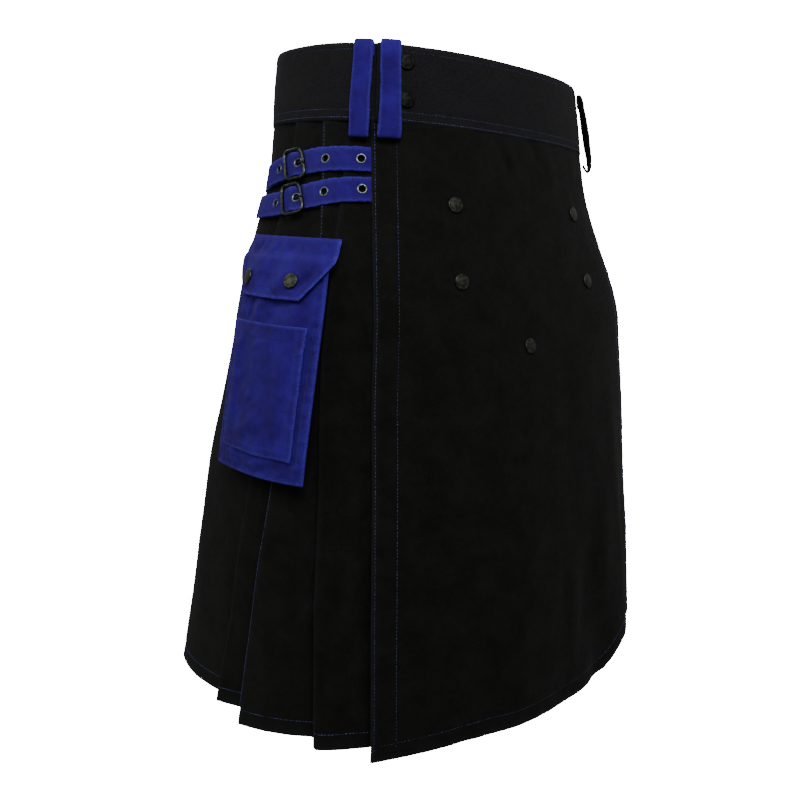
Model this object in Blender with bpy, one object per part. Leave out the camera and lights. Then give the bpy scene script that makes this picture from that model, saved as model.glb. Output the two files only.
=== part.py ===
"""A utility kilt of black cotton drill, with blue belt loops, adjusting straps and side pockets.

It keeps the hollow form that it has when it is worn. The origin is the centre of the waist, halfway down
the waistband. The front faces -Y, +X is the wearer's left and +Z is up. Lengths are in metres.

A place on the cloth is given by its distance round the body from the centre front, its depth below the
waistband's top edge, and how far it stands out from the skirt's own outline.
"""
import math

import bmesh
import bpy
import numpy as np

# The whole garment
TOP_ABOVE_ORIGIN = 0.035
BAND_DEPTH = 0.069
SEAM_GAP = 0.0004
SQUARENESS = 2.38            # exponent of the ring: 2 is an ellipse, more is squarer

# The skirt's rings: depth, half width, half depth front to back, centre's place front to back
RINGS = np.array([
    (0.000, 0.1619, 0.1229, 0.0000),
    (0.070, 0.1709, 0.1253, -0.0057),
    (0.140, 0.1867, 0.1320, -0.0113),
    (0.240, 0.2135, 0.1430, -0.0194),
    (0.360, 0.2310, 0.1677, -0.0139),
    (0.480, 0.2436, 0.1904, -0.0084),
    (0.610, 0.2498, 0.2103, -0.0025),
])
SKIRT_LENGTH = RINGS[-1, 0]
# How far the top edge and the hem are out of level: rise for each metre across and front to back
WAIST_SLOPE = (-0.0131, 0.0571)
HEM_SLOPE = (0.0470, 0.0119)

# Soft swells and folds of the cloth: share of the half girth, depth, half width, half height, out
SWELLS = (
    (-0.62, 0.120, 0.17, 0.040, -0.0045),
    (-0.62, 0.630, 0.17, 0.090, 0.0065),
    (0.30, 0.110, 0.10, 0.030, -0.0025),
    (0.30, 0.215, 0.11, 0.050, 0.0060),
    (0.100, 0.620, 0.028, 0.170, -0.0075),
    (0.165, 0.620, 0.035, 0.150, 0.0050),
    (-0.060, 0.620, 0.060, 0.140, 0.0035),
    (0.34, 0.620, 0.050, 0.150, -0.0040),
    (0.30, 0.290, 0.11, 0.090, 0.0060),
)

# Apron: depth, half width; hem line: share of the half girth, depth
APRON_HALF_WIDTH = ((0.000, 0.1480), (0.140, 0.1615), (0.310, 0.1800), (0.480, 0.1920), (0.620, 0.1980))
APRON_OUT = 0.0008
APRON_WALL = 0.0015
APRON_HEM = ((-0.270, 0.621), (-0.230, 0.616), (-0.150, 0.610), (0.000, 0.610), (0.100, 0.608),
             (0.120, 0.605), (0.145, 0.591), (0.165, 0.584), (0.200, 0.577), (0.270, 0.573))
PLEAT_HEM = (
    (-1.000, 0.602), (-0.560, 0.605), (-0.456, 0.605), (-0.451, 0.613), (-0.345, 0.609), (-0.330, 0.613),
    (-0.230, 0.611), (0.230, 0.573), (0.300, 0.573), (0.345, 0.575), (0.430, 0.580), (0.600, 0.592),
    (1.000, 0.602),
)
# What lies beneath the apron: depth, how far in
APRON_SINK = ((0.070, 0.0031), (0.170, 0.0031), (0.393, 0.0055), (0.610, 0.0115))
UNDERLAP_SHARE = 0.230
UNDER_APRON_RISE = 0.004     # how much higher its hem is than the apron's

# Pleats, the same on both sides: each fold's place as a share of the half girth at five depths, then how
# wide the folded underlay is at the waistband and at the hem, where the pleat before leaves it room
PLEAT_DEPTHS = (0.070, 0.170, 0.270, 0.393, 0.610)
PLEATS = (
    # at_band, at_hip, mid_pocket, pocket_foot, at_hem, underlay_top, underlay_hem
    (0.364, 0.368, 0.370, 0.351, 0.336, 0.016, 0.034),
    (0.422, 0.398, 0.414, 0.429, 0.453, 0.014, 0.040),
    (0.500, 0.508, 0.490, 0.473, 0.504, 0.018, 0.022),
    (0.630, 0.630, 0.634, 0.640, 0.645, 0.022, 0.042),
    (0.755, 0.755, 0.758, 0.762, 0.765, 0.022, 0.042),
    (0.880, 0.880, 0.882, 0.884, 0.885, 0.022, 0.042),
)
UNDERLAY_ROOM = 0.75
PLEAT_WALL = 0.0011
PLEAT_SPRING = ((0.070, 0.0016), (0.170, 0.0018), (0.393, 0.0040), (0.610, 0.0080))   # layer to layer
SEAMED_PLEAT = 4             # the side panel is sewn to the back panel in front of this pleat
SKIRT_ROWS = (0.0, 0.034, 0.071, 0.112, 0.158, 0.214, 0.288, 0.39, 0.50, 0.63, 0.76, 0.88, 1.0)

# Waistband
BAND_END_SHARE = -0.311      # the front band's free end, on the wearer's right
BAND_SEAM_SHARE = 0.330
BAND_UNDERLAP_SHARE = 0.200
# The outer faces of the two bands: share of the half girth, out. The back band is counted on past the
# centre back at 1, and passes beneath the front band's end
FRONT_BAND_OUT = ((-0.311, 0.0036), (-0.290, 0.0034), (-0.230, 0.0014), (0.330, 0.0014))
BACK_BAND_OUT = ((0.330, 0.0014), (0.400, 0.0008), (1.683, 0.0008), (1.735, -0.0017), (2.300, -0.0017))
FRONT_BAND_WALL = 0.0026
BACK_BAND_WALL = 0.0024
BAND_ROWS = (0.0015, 0.035, BAND_DEPTH)

# Belt loops: name, share of the half girth, colour, how it hangs
LOOPS = (
    ("loop_front_overlap", -0.340, "blue_drill", "taut"),
    ("loop_front_right", -0.287, "blue_drill", "taut"),
    ("loop_front_left", 0.288, "black_drill", "slack"),
    ("loop_back_left", 0.740, "black_drill", "taut"),
    ("loop_back_centre", 1.000, "black_drill", "taut"),
    ("loop_back_right", -0.740, "black_drill", "taut"),
)
LOOP_WIDTH = 0.0166
LOOP_WALL = 0.0020
# A loop's middle line from its sewn top, over and down to its sewn foot: out from the band, depth
LOOP_PROFILES = {
    "taut": (
        (0.0015, 0.0130), (0.0015, 0.0030), (0.0025, 0.0000), (0.0043, -0.0002), (0.0055, 0.0030),
        (0.0058, 0.0200), (0.0066, 0.0600), (0.0060, 0.0770), (0.0040, 0.0838), (0.0021, 0.0832),
        (0.0015, 0.0765),
    ),
    "slack": (
        (0.0015, 0.0190), (0.0015, 0.0110), (0.0024, 0.0080), (0.0040, 0.0078), (0.0052, 0.0110),
        (0.0064, 0.0300), (0.0080, 0.0560), (0.0092, 0.0740), (0.0080, 0.0850), (0.0046, 0.0885),
        (0.0015, 0.0810),
    ),
}

# Adjusting straps: each strap's middle line, as distance from the centre front and depth
STRAP_WIDTH = 0.0206
STRAP_WALL = 0.0013
CHAPE_WALL = 0.0012
STRAP_PATHS = {
    "upper": ((0.144, 0.1024), (0.190, 0.1027), (0.210, 0.1042), (0.264, 0.1122), (0.296, 0.1188),
              (0.325, 0.1230)),
    "lower": ((0.147, 0.1276), (0.190, 0.1298), (0.210, 0.1335), (0.266, 0.1440), (0.296, 0.1462),
              (0.325, 0.1475)),
}
STRAP_END = {"upper": 0.296, "lower": 0.322}
CHAPE_SPAN = (-0.0035, 0.3200)   # from just in front of the centre bar
CHAPE_OUT = 0.0011
STRAP_UNDER_OUT = -0.0019    # where the apron's edge covers the strap
STRAP_OUT = 0.0017
STRAP_OVER_BAR_OUT = 0.0057
STRAP_TAIL_OUT = 0.0035
BUCKLE_AT = {"upper": 0.2390, "lower": 0.2425}
BUCKLE_HALF_LENGTH = 0.0145
BUCKLE_HALF_HEIGHT = 0.0141
BUCKLE_BAR = 0.0025
BUCKLE_RAIL = 0.0021
BUCKLE_THICK = 0.0024
BUCKLE_FRONT_OUT = 0.0044    # middle of the bar that lies on the strap
BUCKLE_BACK_OUT = 0.0062     # middle of the bar that lies on the tail
BUCKLE_CENTRE_OUT = 0.0034
PRONG_RADII = (0.0011, 0.0008)
PRONG_PATH = ((-0.0068, 0.0054), (-0.0100, 0.0066), (-0.0165, 0.0073))   # along from the centre bar, out

# Side pockets: measured across from the pocket's middle
POCKET_EDGE_SHARES = {-1: 0.364, 1: 0.385}   # the pockets' front edges, right and left
POCKET_OUT = ((0.197, 0.0088), (0.249, 0.0102), (0.381, 0.0115))
POCKET_LEAN = 0.25           # how much further out its front edge stands than its middle
POCKET_CROWN = 0.0020
POCKET_WALL = 0.0013
POCKET_SEAT = 0.0007
POCKET_TUCK = 0.0095         # how far the side gussets run in beneath the front panel
POCKET_HALF_WIDTH = 0.058
POCKET_ROWS = (0.197, 0.222, 0.249, 0.277, 0.305, 0.333, 0.361, 0.381)
POCKET_COLUMNS = (-0.058, -0.046, -0.023, 0.0, 0.023, 0.046, 0.058)
PATCH_WALL = 0.0012
PATCH_GAP = 0.0005
# The flap from its sewn top down: depth, half width, out
FLAP_ROWS = (
    (0.1730, 0.0625, 0.0020), (0.1800, 0.0625, 0.0036), (0.1875, 0.0625, 0.0064),
    (0.1940, 0.0620, 0.0106), (0.2045, 0.0545, 0.0130), (0.2150, 0.0465, 0.0140), (0.2260, 0.0375, 0.0144),
)
FLAP_WALL = 0.0014
FLAP_CROWN = 0.0016

# Press studs: name, signed distance from the centre front, depth
STUD_RADIUS = 0.0072
STUD_HEIGHT = 0.0022
STUD_SEAT = 0.00045
STUD_SIDES = 14
APRON_STUDS = (
    ("stud_apron_upper_right", -0.0856, 0.1372),
    ("stud_apron_upper_left", 0.0766, 0.1351),
    ("stud_apron_lower_right", -0.0868, 0.2046),
    ("stud_apron_lower_left", 0.0892, 0.2024),
    ("stud_apron_foot", -0.0123, 0.2630),
)
BAND_STUDS = (
    ("stud_band_upper", -0.1206, 0.0167),
    ("stud_band_lower", -0.1226, 0.0495),
)
POCKET_STUD_ACROSS = 0.0285
POCKET_STUD_DEPTH = 0.2105
SIDES = (("right", -1), ("left", 1))


# The skirt's outline

PHI = np.radians(np.linspace(-270.0, 90.0, 721))
LOOKUP_DEPTHS = np.linspace(-0.01, 0.64, 66)


def read(table, value):
    """Reads a table of (place, amount) rows at a place between its rows."""
    rows = np.array(table)
    return float(np.interp(value, rows[:, 0], rows[:, 1]))


def ring_sizes(depth):
    return [float(np.interp(depth, RINGS[:, 0], RINGS[:, column])) for column in (1, 2, 3)]


def ring_xy(phi, depth):
    half_width, half_depth, centre = ring_sizes(depth)
    c, s = np.cos(phi), np.sin(phi)
    radius = (np.abs(c) ** SQUARENESS + np.abs(s) ** SQUARENESS) ** (-1.0 / SQUARENESS)
    return half_width * radius * c, half_depth * radius * s + centre


def girth_lookup(depth):
    """Half the girth at a depth, and how far round each angle lies, from -1 to 1 with 0 in front."""
    x, y = ring_xy(PHI, depth)
    run = np.concatenate([[0.0], np.cumsum(np.hypot(np.diff(x), np.diff(y)))])
    half = run[-1] / 2
    return half, run / half - 1.0


LOOKUP = [girth_lookup(depth) for depth in LOOKUP_DEPTHS]
HALF_GIRTHS = np.array([half for half, shares in LOOKUP])


def half_girth(depth):
    return float(np.interp(depth, LOOKUP_DEPTHS, HALF_GIRTHS))


def angle_of(share, depth):
    share = (share + 1.0) % 2.0 - 1.0
    place = np.clip((depth - LOOKUP_DEPTHS[0]) / (LOOKUP_DEPTHS[1] - LOOKUP_DEPTHS[0]), 0, len(LOOKUP) - 1.001)
    low = int(place)
    part = place - low
    below = np.interp(share, LOOKUP[low][1], PHI)
    above = np.interp(share, LOOKUP[low + 1][1], PHI)
    return below * (1 - part) + above * part


def swell(share, depth):
    """How far the cloth's soft folds move it out or in."""
    share = (share + 1.0) % 2.0 - 1.0
    total = 0.0
    for at_share, at_depth, half_width, half_height, out in SWELLS:
        across = (share - at_share) / half_width
        down = (depth - at_depth) / half_height
        total += out * math.exp(-across * across - down * down)
    return total


def skin(share, depth, out=0.0):
    """A point of the cloth: share of the half girth (minus on the wearer's right), depth and out."""
    phi = angle_of(share, depth)
    half_width, half_depth, centre = ring_sizes(depth)
    c, s = math.cos(phi), math.sin(phi)
    radius = (abs(c) ** SQUARENESS + abs(s) ** SQUARENESS) ** (-1.0 / SQUARENESS)
    x, y = half_width * radius * c, half_depth * radius * s
    nx = math.copysign(abs(radius * c) ** (SQUARENESS - 1), c) / half_width
    ny = math.copysign(abs(radius * s) ** (SQUARENESS - 1), s) / half_depth
    length = math.hypot(nx, ny)
    down = depth / SKIRT_LENGTH
    rise = (1 - down) * (WAIST_SLOPE[0] * x + WAIST_SLOPE[1] * y) + down * (HEM_SLOPE[0] * x + HEM_SLOPE[1] * y)
    reach = out + swell(share, depth)
    return np.array([
        x + reach * nx / length,
        y + centre + reach * ny / length,
        TOP_ABOVE_ORIGIN - depth + rise,
    ])


def place(side, distance, depth, out=0.0):
    """A point of the cloth by its distance from the centre front, on the right (-1) or left (1) side."""
    return skin(side * distance / half_girth(depth), depth, out)


# Making solids

MATERIALS = {
    # base colour, metallic, roughness
    "black_drill": ((0.010, 0.010, 0.010), 0.0, 0.85),
    "blue_drill": ((0.015, 0.021, 0.155), 0.0, 0.80),
    "dark_metal": ((0.020, 0.020, 0.017), 1.0, 0.40),
}


def material(name):
    found = bpy.data.materials.get(name)
    if found:
        return found
    colour, metallic, roughness = MATERIALS[name]
    made = bpy.data.materials.new(name)
    made.use_nodes = True
    shader = made.node_tree.nodes["Principled BSDF"]
    shader.inputs["Base Color"].default_value = (*colour, 1.0)
    shader.inputs["Metallic"].default_value = metallic
    shader.inputs["Roughness"].default_value = roughness
    made.diffuse_color = (*colour, 1.0)
    return made


def solid(name, points, faces, material_name):
    """One closed solid with its faces turned outwards."""
    mesh = bpy.data.meshes.new(name)
    mesh.from_pydata([tuple(point) for point in points], [], faces)
    shape = bmesh.new()
    shape.from_mesh(mesh)
    bmesh.ops.recalc_face_normals(shape, faces=shape.faces)
    shape.to_mesh(mesh)
    shape.free()
    mesh.materials.append(material(material_name))
    mesh.shade_smooth()
    mesh.set_sharp_from_angle(angle=math.radians(35))
    piece = bpy.data.objects.new(name, mesh)
    bpy.context.scene.collection.objects.link(piece)
    return piece


def wall(name, outer, inner, faces, material_name):
    """A wall between matching outer and inner points, closed along every free edge of its faces."""
    count = len(outer)
    points = list(outer) + list(inner)
    all_faces = [tuple(face) for face in faces]
    all_faces += [tuple(count + corner for corner in reversed(face)) for face in faces]
    edges = set()
    for face in faces:
        for first, second in zip(face, face[1:] + face[:1]):
            edges.add((first, second))
    for first, second in sorted(edges):
        if (second, first) not in edges:
            all_faces.append((second, first, count + first, count + second))
    return solid(name, points, all_faces, material_name)


def grid_faces(rows, columns, skip=()):
    """The faces of a grid of points, row by row, without the cells named in skip."""
    faces = []
    for row in range(rows - 1):
        for column in range(columns - 1):
            if (row, column) in skip:
                continue
            corner = row * columns + column
            faces.append((corner, corner + 1, corner + columns + 1, corner + columns))
    return faces


def sheet(name, outer_rows, inner_rows, material_name):
    outer = [point for row in outer_rows for point in row]
    inner = [point for row in inner_rows for point in row]
    faces = grid_faces(len(outer_rows), len(outer_rows[0]))
    return wall(name, outer, inner, faces, material_name)


def offset_line(line, distance):
    """Moves a line of (along, out) points sideways, to its left for a distance above 0."""
    line = np.array(line)
    steps = np.diff(line, axis=0)
    steps /= np.linalg.norm(steps, axis=1)[:, None]
    left = np.stack([-steps[:, 1], steps[:, 0]], axis=1)
    first = np.vstack([left[:1], left])
    second = np.vstack([left, left[-1:]])
    middle = first + second
    middle /= np.linalg.norm(middle, axis=1)[:, None]
    lean = np.clip((middle * first).sum(axis=1), 0.6, 1.0)
    return line + middle * (distance / lean)[:, None]


# The skirt: apron, under apron and pleats

def row_depth(row, hem, share):
    """Depth of a row of the skirt, from just below the waistband to the hem line."""
    top = BAND_DEPTH + SEAM_GAP
    return top + row * (read(hem, share) - top)


def make_apron():
    columns = np.linspace(-1.0, 1.0, 25)
    outer, inner = [], []
    for row in SKIRT_ROWS:
        nominal = BAND_DEPTH + SEAM_GAP + row * (SKIRT_LENGTH - BAND_DEPTH)
        half = read(APRON_HALF_WIDTH, nominal) / half_girth(nominal)
        places = [(column * half, row_depth(row, APRON_HEM, column * half)) for column in columns]
        outer.append([skin(share, depth, APRON_OUT) for share, depth in places])
        inner.append([skin(share, depth, APRON_OUT - APRON_WALL) for share, depth in places])
    sheet("apron", outer, inner, "black_drill")


def make_under_apron():
    columns = np.linspace(-1.0, 1.0, 19)
    outer, inner = [], []
    for row in SKIRT_ROWS:
        nominal = BAND_DEPTH + SEAM_GAP + row * (SKIRT_LENGTH - BAND_DEPTH)
        edge = UNDERLAP_SHARE - SEAM_GAP / half_girth(nominal)
        out = -read(APRON_SINK, nominal)
        places = [(column * edge, row_depth(row, APRON_HEM, column * edge)) for column in columns]
        rise = UNDER_APRON_RISE * row
        outer.append([skin(share, depth - rise, out) for share, depth in places])
        inner.append([skin(share, depth - rise, out - APRON_WALL) for share, depth in places])
    sheet("under_apron", outer, inner, "black_drill")


def pleat_line(depth):
    """The middle of one side's cloth at a depth, as (distance, out), and where its two panels are sewn."""
    girth = half_girth(depth)
    spring = read(PLEAT_SPRING, depth)
    turn = spring / 2
    down = (depth - PLEAT_DEPTHS[0]) / (PLEAT_DEPTHS[-1] - PLEAT_DEPTHS[0])
    folds = [float(np.interp(depth, PLEAT_DEPTHS, pleat[:5])) * girth for pleat in PLEATS]
    underlays = []
    for number, pleat in enumerate(PLEATS):
        room = folds[number] - (folds[number - 1] if number else UNDERLAP_SHARE * girth)
        underlays.append(min(pleat[5] + down * (pleat[6] - pleat[5]), UNDERLAY_ROOM * room))
    apron_edge = read(APRON_HALF_WIDTH, depth)
    sink = read(APRON_SINK, depth)

    def rising_face(start, end, drop, drop_at_end):
        def face(distance):
            done = min(1.0, max(0.0, (distance - start) / (end - start)))
            return -PLEAT_WALL / 2 - drop + (drop - drop_at_end) * done
        return face

    face = rising_face(apron_edge, folds[0], sink, 0.0)
    line = [(distance, face(distance)) for distance in (UNDERLAP_SHARE * girth + SEAM_GAP / 2, apron_edge)]
    panels = []
    for number, (fold, underlay) in enumerate(zip(folds, underlays)):
        start = fold - underlay
        zone = (start + turn, (start + fold) / 2, fold - turn)
        begin = line[-1][0]
        if number == SEAMED_PLEAT:
            seam = begin + 0.5 * (zone[0] - begin)
            line.append((seam - SEAM_GAP / 2, face(seam)))
            panels.append(line)
            line = [(seam + SEAM_GAP / 2, face(seam))]
        elif number > 0:
            for part in (0.35, 0.70):
                distance = begin + part * (zone[0] - begin)
                line.append((distance, face(distance)))
        line += [(distance, face(distance)) for distance in zone]
        line.append((fold, face(fold) - turn))
        line += [(distance, face(distance) - spring) for distance in reversed(zone)]
        line.append((start, face(start) - spring - turn))
        line += [(distance, face(distance) - 2 * spring) for distance in zone]
        last = number == len(PLEATS) - 1
        end = girth if last else folds[number + 1]
        face = rising_face(fold, end, 2 * spring, spring if last else 0.0)
    begin = line[-1][0]
    for part in (0.3, 0.65, 1.0):
        distance = begin + part * (girth - begin)
        line.append((distance, face(distance)))
    panels.append(line)
    return panels


def pleat_rows(panel):
    """One side's panel, row by row, as (distance, out) of its outer and inner points and the row's depth."""
    rows = []
    for row in SKIRT_ROWS:
        nominal = BAND_DEPTH + SEAM_GAP + row * (SKIRT_LENGTH - BAND_DEPTH)
        line = pleat_line(nominal)[panel]
        outer, inner = offset_line(line, PLEAT_WALL / 2), offset_line(line, -PLEAT_WALL / 2)
        rows.append((row, half_girth(nominal), outer, inner))
    return rows


def pleat_points(rows, side, layer):
    """Points of a side's panel: layer 0 is the outer and 1 the inner."""
    made = []
    for row, girth, *layers in rows:
        made.append([
            skin(side * distance / girth, row_depth(row, PLEAT_HEM, side * distance / girth), out)
            for distance, out in layers[layer]
        ])
    return made


def make_pleats():
    side_rows = pleat_rows(0)
    back_rows = pleat_rows(1)
    for word, side in SIDES:
        sheet("pleats_" + word, pleat_points(side_rows, side, 0), pleat_points(side_rows, side, 1), "black_drill")
    joined = []
    for layer in (0, 1):
        right = pleat_points(back_rows, -1, layer)
        left = pleat_points(back_rows, 1, layer)
        joined.append([one + list(reversed(other))[1:] for one, other in zip(right, left)])
    sheet("pleats_back", joined[0], joined[1], "black_drill")


# The waistband and its loops

def make_waistband():
    front = np.linspace(BAND_END_SHARE, BAND_SEAM_SHARE, 31)
    back = np.linspace(BAND_SEAM_SHARE + 2 * SEAM_GAP, 2.0 + BAND_UNDERLAP_SHARE, 85)
    bands = (
        ("waistband_front", front, FRONT_BAND_OUT, FRONT_BAND_WALL),
        ("waistband_back", back, BACK_BAND_OUT, BACK_BAND_WALL),
    )
    for name, shares, outs, thick in bands:
        outer = [[skin(share, depth, read(outs, share)) for share in shares] for depth in BAND_ROWS]
        inner = [[skin(share, depth, read(outs, share) - thick) for share in shares] for depth in BAND_ROWS]
        sheet(name, outer, inner, "black_drill")


def band_out(share):
    """The outer face of whichever band lies on top at a place."""
    if BAND_END_SHARE <= share <= BAND_SEAM_SHARE:
        return read(FRONT_BAND_OUT, share)
    return read(BACK_BAND_OUT, share if share > 0 else share + 2.0)


def make_loops():
    across = np.array([-0.5, 0.0, 0.5]) * LOOP_WIDTH
    for name, middle, colour, hang in LOOPS:
        # along runs up, so that the line's left is the side away from the band
        line = [(-depth, out) for out, depth in LOOP_PROFILES[hang]]
        shares = middle + across / half_girth(BAND_DEPTH / 2)
        layers = []
        for distance in (LOOP_WALL / 2, -LOOP_WALL / 2):
            layers.append([
                [skin(share, -along, band_out(share) + out) for share in shares]
                for along, out in offset_line(line, distance)
            ])
        sheet(name, layers[0], layers[1], colour)


# Straps and buckles

def strip(name, side, path, width, thickness, material_name):
    """A flat strip along (distance, depth, out) points, where out is the middle of its thickness."""
    path = np.array(path)
    steps = np.gradient(path[:, :2], axis=0)
    steps /= np.linalg.norm(steps, axis=1)[:, None]
    across = np.stack([-steps[:, 1], steps[:, 0]], axis=1) * width / 2
    layers = []
    for half in (thickness / 2, -thickness / 2):
        layers.append([
            [place(side, *(point[:2] + across_at * edge), point[2] + half) for point, across_at in zip(path, across)]
            for edge in (-1, 0, 1)
        ])
    return sheet(name, layers[0], layers[1], material_name)


def strap_stops(apron_edge, bar, end):
    """A strap's (distance, out) from beneath the apron, under, over and under the buckle's bars."""
    stops = [
        (apron_edge - 0.012, STRAP_UNDER_OUT), (apron_edge + 0.0005, STRAP_UNDER_OUT),
        (apron_edge + 0.0095, STRAP_OUT), (0.180, STRAP_OUT), (0.194, STRAP_OUT), (0.208, STRAP_OUT),
        (bar - 0.0190, STRAP_OUT), (bar - 0.0108, STRAP_OUT),
        (bar - 0.0020, STRAP_OVER_BAR_OUT), (bar + 0.0020, STRAP_OVER_BAR_OUT),
        (bar + 0.0100, STRAP_TAIL_OUT), (bar + 0.0190, STRAP_TAIL_OUT),
    ]
    pieces = max(2, round((end - stops[-1][0]) / 0.013))
    return stops + [(float(stop), STRAP_TAIL_OUT) for stop in np.linspace(stops[-1][0], end, pieces + 1)[1:]]


def make_straps():
    for word, side in SIDES:
        for level, route in STRAP_PATHS.items():
            apron_edge = read(APRON_HALF_WIDTH, route[0][1])
            stops = strap_stops(apron_edge, BUCKLE_AT[level], STRAP_END[level])
            path = [(stop, read(route, stop), out) for stop, out in stops]
            strip(f"strap_{level}_{word}", side, path, STRAP_WIDTH, STRAP_WALL, "blue_drill")
            stops = np.linspace(BUCKLE_AT[level] + CHAPE_SPAN[0], CHAPE_SPAN[1], 8)
            path = [(stop, read(route, stop), CHAPE_OUT) for stop in stops]
            strip(f"chape_{level}_{word}", side, path, STRAP_WIDTH, CHAPE_WALL, "blue_drill")


def buckle_out(across):
    """Middle of the frame's thickness, from the front bar to the back bar."""
    part = (across + BUCKLE_HALF_LENGTH) / (2 * BUCKLE_HALF_LENGTH)
    return BUCKLE_FRONT_OUT + part * (BUCKLE_BACK_OUT - BUCKLE_FRONT_OUT)


def make_buckles():
    length, height = BUCKLE_HALF_LENGTH, BUCKLE_HALF_HEIGHT
    columns = (-length, BUCKLE_BAR - length, -BUCKLE_BAR / 2, BUCKLE_BAR / 2, length - BUCKLE_BAR, length)
    rows = (-height, BUCKLE_RAIL - height, height - BUCKLE_RAIL, height)
    windows = ((1, 1), (1, 3))
    faces = grid_faces(len(rows), len(columns), windows)
    for word, side in SIDES:
        for level, route in STRAP_PATHS.items():
            bar = BUCKLE_AT[level]
            middle = read(route, bar)
            tilt = math.atan2(read(route, bar + length) - middle, length)
            outer, inner = [], []
            for row, down in enumerate(rows):
                for column, across in enumerate(columns):
                    corner = row in (0, 3) and column in (0, 5)
                    pull = 0.92 if corner else 1.0
                    out = buckle_out(across)
                    if row in (1, 2) and column in (2, 3):
                        out = BUCKLE_CENTRE_OUT
                    spot = (
                        bar + pull * (across * math.cos(tilt) - down * math.sin(tilt)),
                        middle + pull * (across * math.sin(tilt) + down * math.cos(tilt)),
                    )
                    outer.append(place(side, *spot, out + BUCKLE_THICK / 2))
                    inner.append(place(side, *spot, out - BUCKLE_THICK / 2))
            wall(f"buckle_{level}_{word}", outer, inner, faces, "dark_metal")
            make_prong(f"prong_{level}_{word}", side, route, bar)


def make_prong(name, side, route, bar):
    """A round tapered pin from the strap's hole to the buckle's front bar."""
    sides = 8
    points = []
    for number, (along, out) in enumerate(PRONG_PATH):
        distance = bar + along
        radius = PRONG_RADII[0] + (PRONG_RADII[1] - PRONG_RADII[0]) * number / (len(PRONG_PATH) - 1)
        for corner in range(sides):
            angle = 2 * math.pi * corner / sides
            depth = read(route, distance) + radius * math.cos(angle)
            points.append(place(side, distance, depth, out + radius * math.sin(angle)))
    faces = []
    for ring in range(len(PRONG_PATH) - 1):
        for corner in range(sides):
            first = ring * sides + corner
            second = ring * sides + (corner + 1) % sides
            faces.append((first, second, second + sides, first + sides))
    faces.append(tuple(range(sides)))
    faces.append(tuple(range(len(points) - 1, len(points) - sides - 1, -1)))
    solid(name, points, faces, "dark_metal")


# Side pockets

def pocket_distance(side, across, depth):
    return POCKET_EDGE_SHARES[side] * half_girth(depth) + POCKET_HALF_WIDTH + across


def pocket_place(side, across, depth, out):
    return place(side, pocket_distance(side, across, depth), depth, out)


def pocket_front(across, depth):
    """The outer face of the pocket's front panel: a shallow crown between its edges."""
    rows = POCKET_ROWS
    down = (depth - rows[0]) / (rows[-1] - rows[0])
    crown = (1 - (across / POCKET_HALF_WIDTH) ** 2) * (1 - (2 * down - 1) ** 4)
    lean = 1 - POCKET_LEAN * across / POCKET_HALF_WIDTH
    return read(POCKET_OUT, depth) * lean + POCKET_CROWN * max(0.0, crown)


def make_pocket_bag(name, side):
    """The front panel with its side and bottom gussets, open at the top and towards the skirt."""
    inset = POCKET_WALL
    columns = (POCKET_COLUMNS[0], *POCKET_COLUMNS, POCKET_COLUMNS[-1])
    rows = (*POCKET_ROWS, POCKET_ROWS[-1])
    last_column, last_row = len(columns) - 1, len(rows) - 1
    outer, inner, number = [], [], {}
    for row, depth in enumerate(rows):
        for column, across in enumerate(columns):
            on_side = column in (0, last_column)
            on_foot = row == last_row
            on_edge = column in (0, 1, last_column - 1, last_column)
            if on_side and on_foot:
                continue
            number[row, column] = len(outer)
            seated = on_side or on_foot
            out = POCKET_SEAT if seated else pocket_front(across, depth)
            if on_side:
                across -= math.copysign(POCKET_TUCK, across)
            outer.append(pocket_place(side, across, depth, out))
            inside = across - math.copysign(inset, across) if on_edge else across
            above = depth - inset if row >= last_row - 1 else depth
            inner_out = out if seated else out - inset
            inner.append(pocket_place(side, inside, above, inner_out))
    # at each foot corner the two gussets meet in one point
    number[last_row, 0] = number[last_row - 1, 0]
    number[last_row, last_column] = number[last_row - 1, last_column]
    faces = []
    for row in range(last_row):
        for column in range(last_column):
            corners = [number[row, column], number[row, column + 1], number[row + 1, column + 1],
                       number[row + 1, column]]
            kept = [corner for at, corner in enumerate(corners) if corner not in corners[:at]]
            in_corner = row == last_row - 1 and column in (0, last_column - 1)
            if not in_corner:
                faces.append(tuple(kept))
    corner_fixes = {
        number[last_row, 1]: number[last_row - 1, 0],
        number[last_row, last_column - 1]: number[last_row - 1, last_column],
    }
    faces = [tuple(corner_fixes.get(corner, corner) for corner in face) for face in faces]
    used = sorted({corner for face in faces for corner in face})
    renumber = {old: new for new, old in enumerate(used)}
    faces = [tuple(renumber[corner] for corner in face) for face in faces]
    wall(name, [outer[at] for at in used], [inner[at] for at in used], faces, "blue_drill")


def make_pocket_patch(name, side):
    layers = []
    for out in (PATCH_GAP + PATCH_WALL, PATCH_GAP):
        layers.append([
            [pocket_place(side, across, depth, pocket_front(across, depth) + out) for across in POCKET_COLUMNS[1:-1]]
            for depth in POCKET_ROWS[2:7]
        ])
    sheet(name, layers[0], layers[1], "blue_drill")


def flap_out(across, row_out):
    """A flap row's outer face, which is crowned the more the further it stands out."""
    lean = 1 - POCKET_LEAN * across / POCKET_HALF_WIDTH * row_out / FLAP_ROWS[-1][2]
    return row_out * lean + FLAP_CROWN * (1 - (across / FLAP_ROWS[0][1]) ** 2) * row_out / FLAP_ROWS[-1][2]


def make_pocket_flap(name, side):
    columns = np.linspace(-1.0, 1.0, 9)
    outer, inner = [], []
    for depth, half_width, out in FLAP_ROWS:
        outer.append([pocket_place(side, c * half_width, depth, flap_out(c * half_width, out)) for c in columns])
        inner.append([
            pocket_place(side, c * half_width, depth, flap_out(c * half_width, out) - FLAP_WALL) for c in columns
        ])
    sheet(name, outer, inner, "blue_drill")


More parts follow.
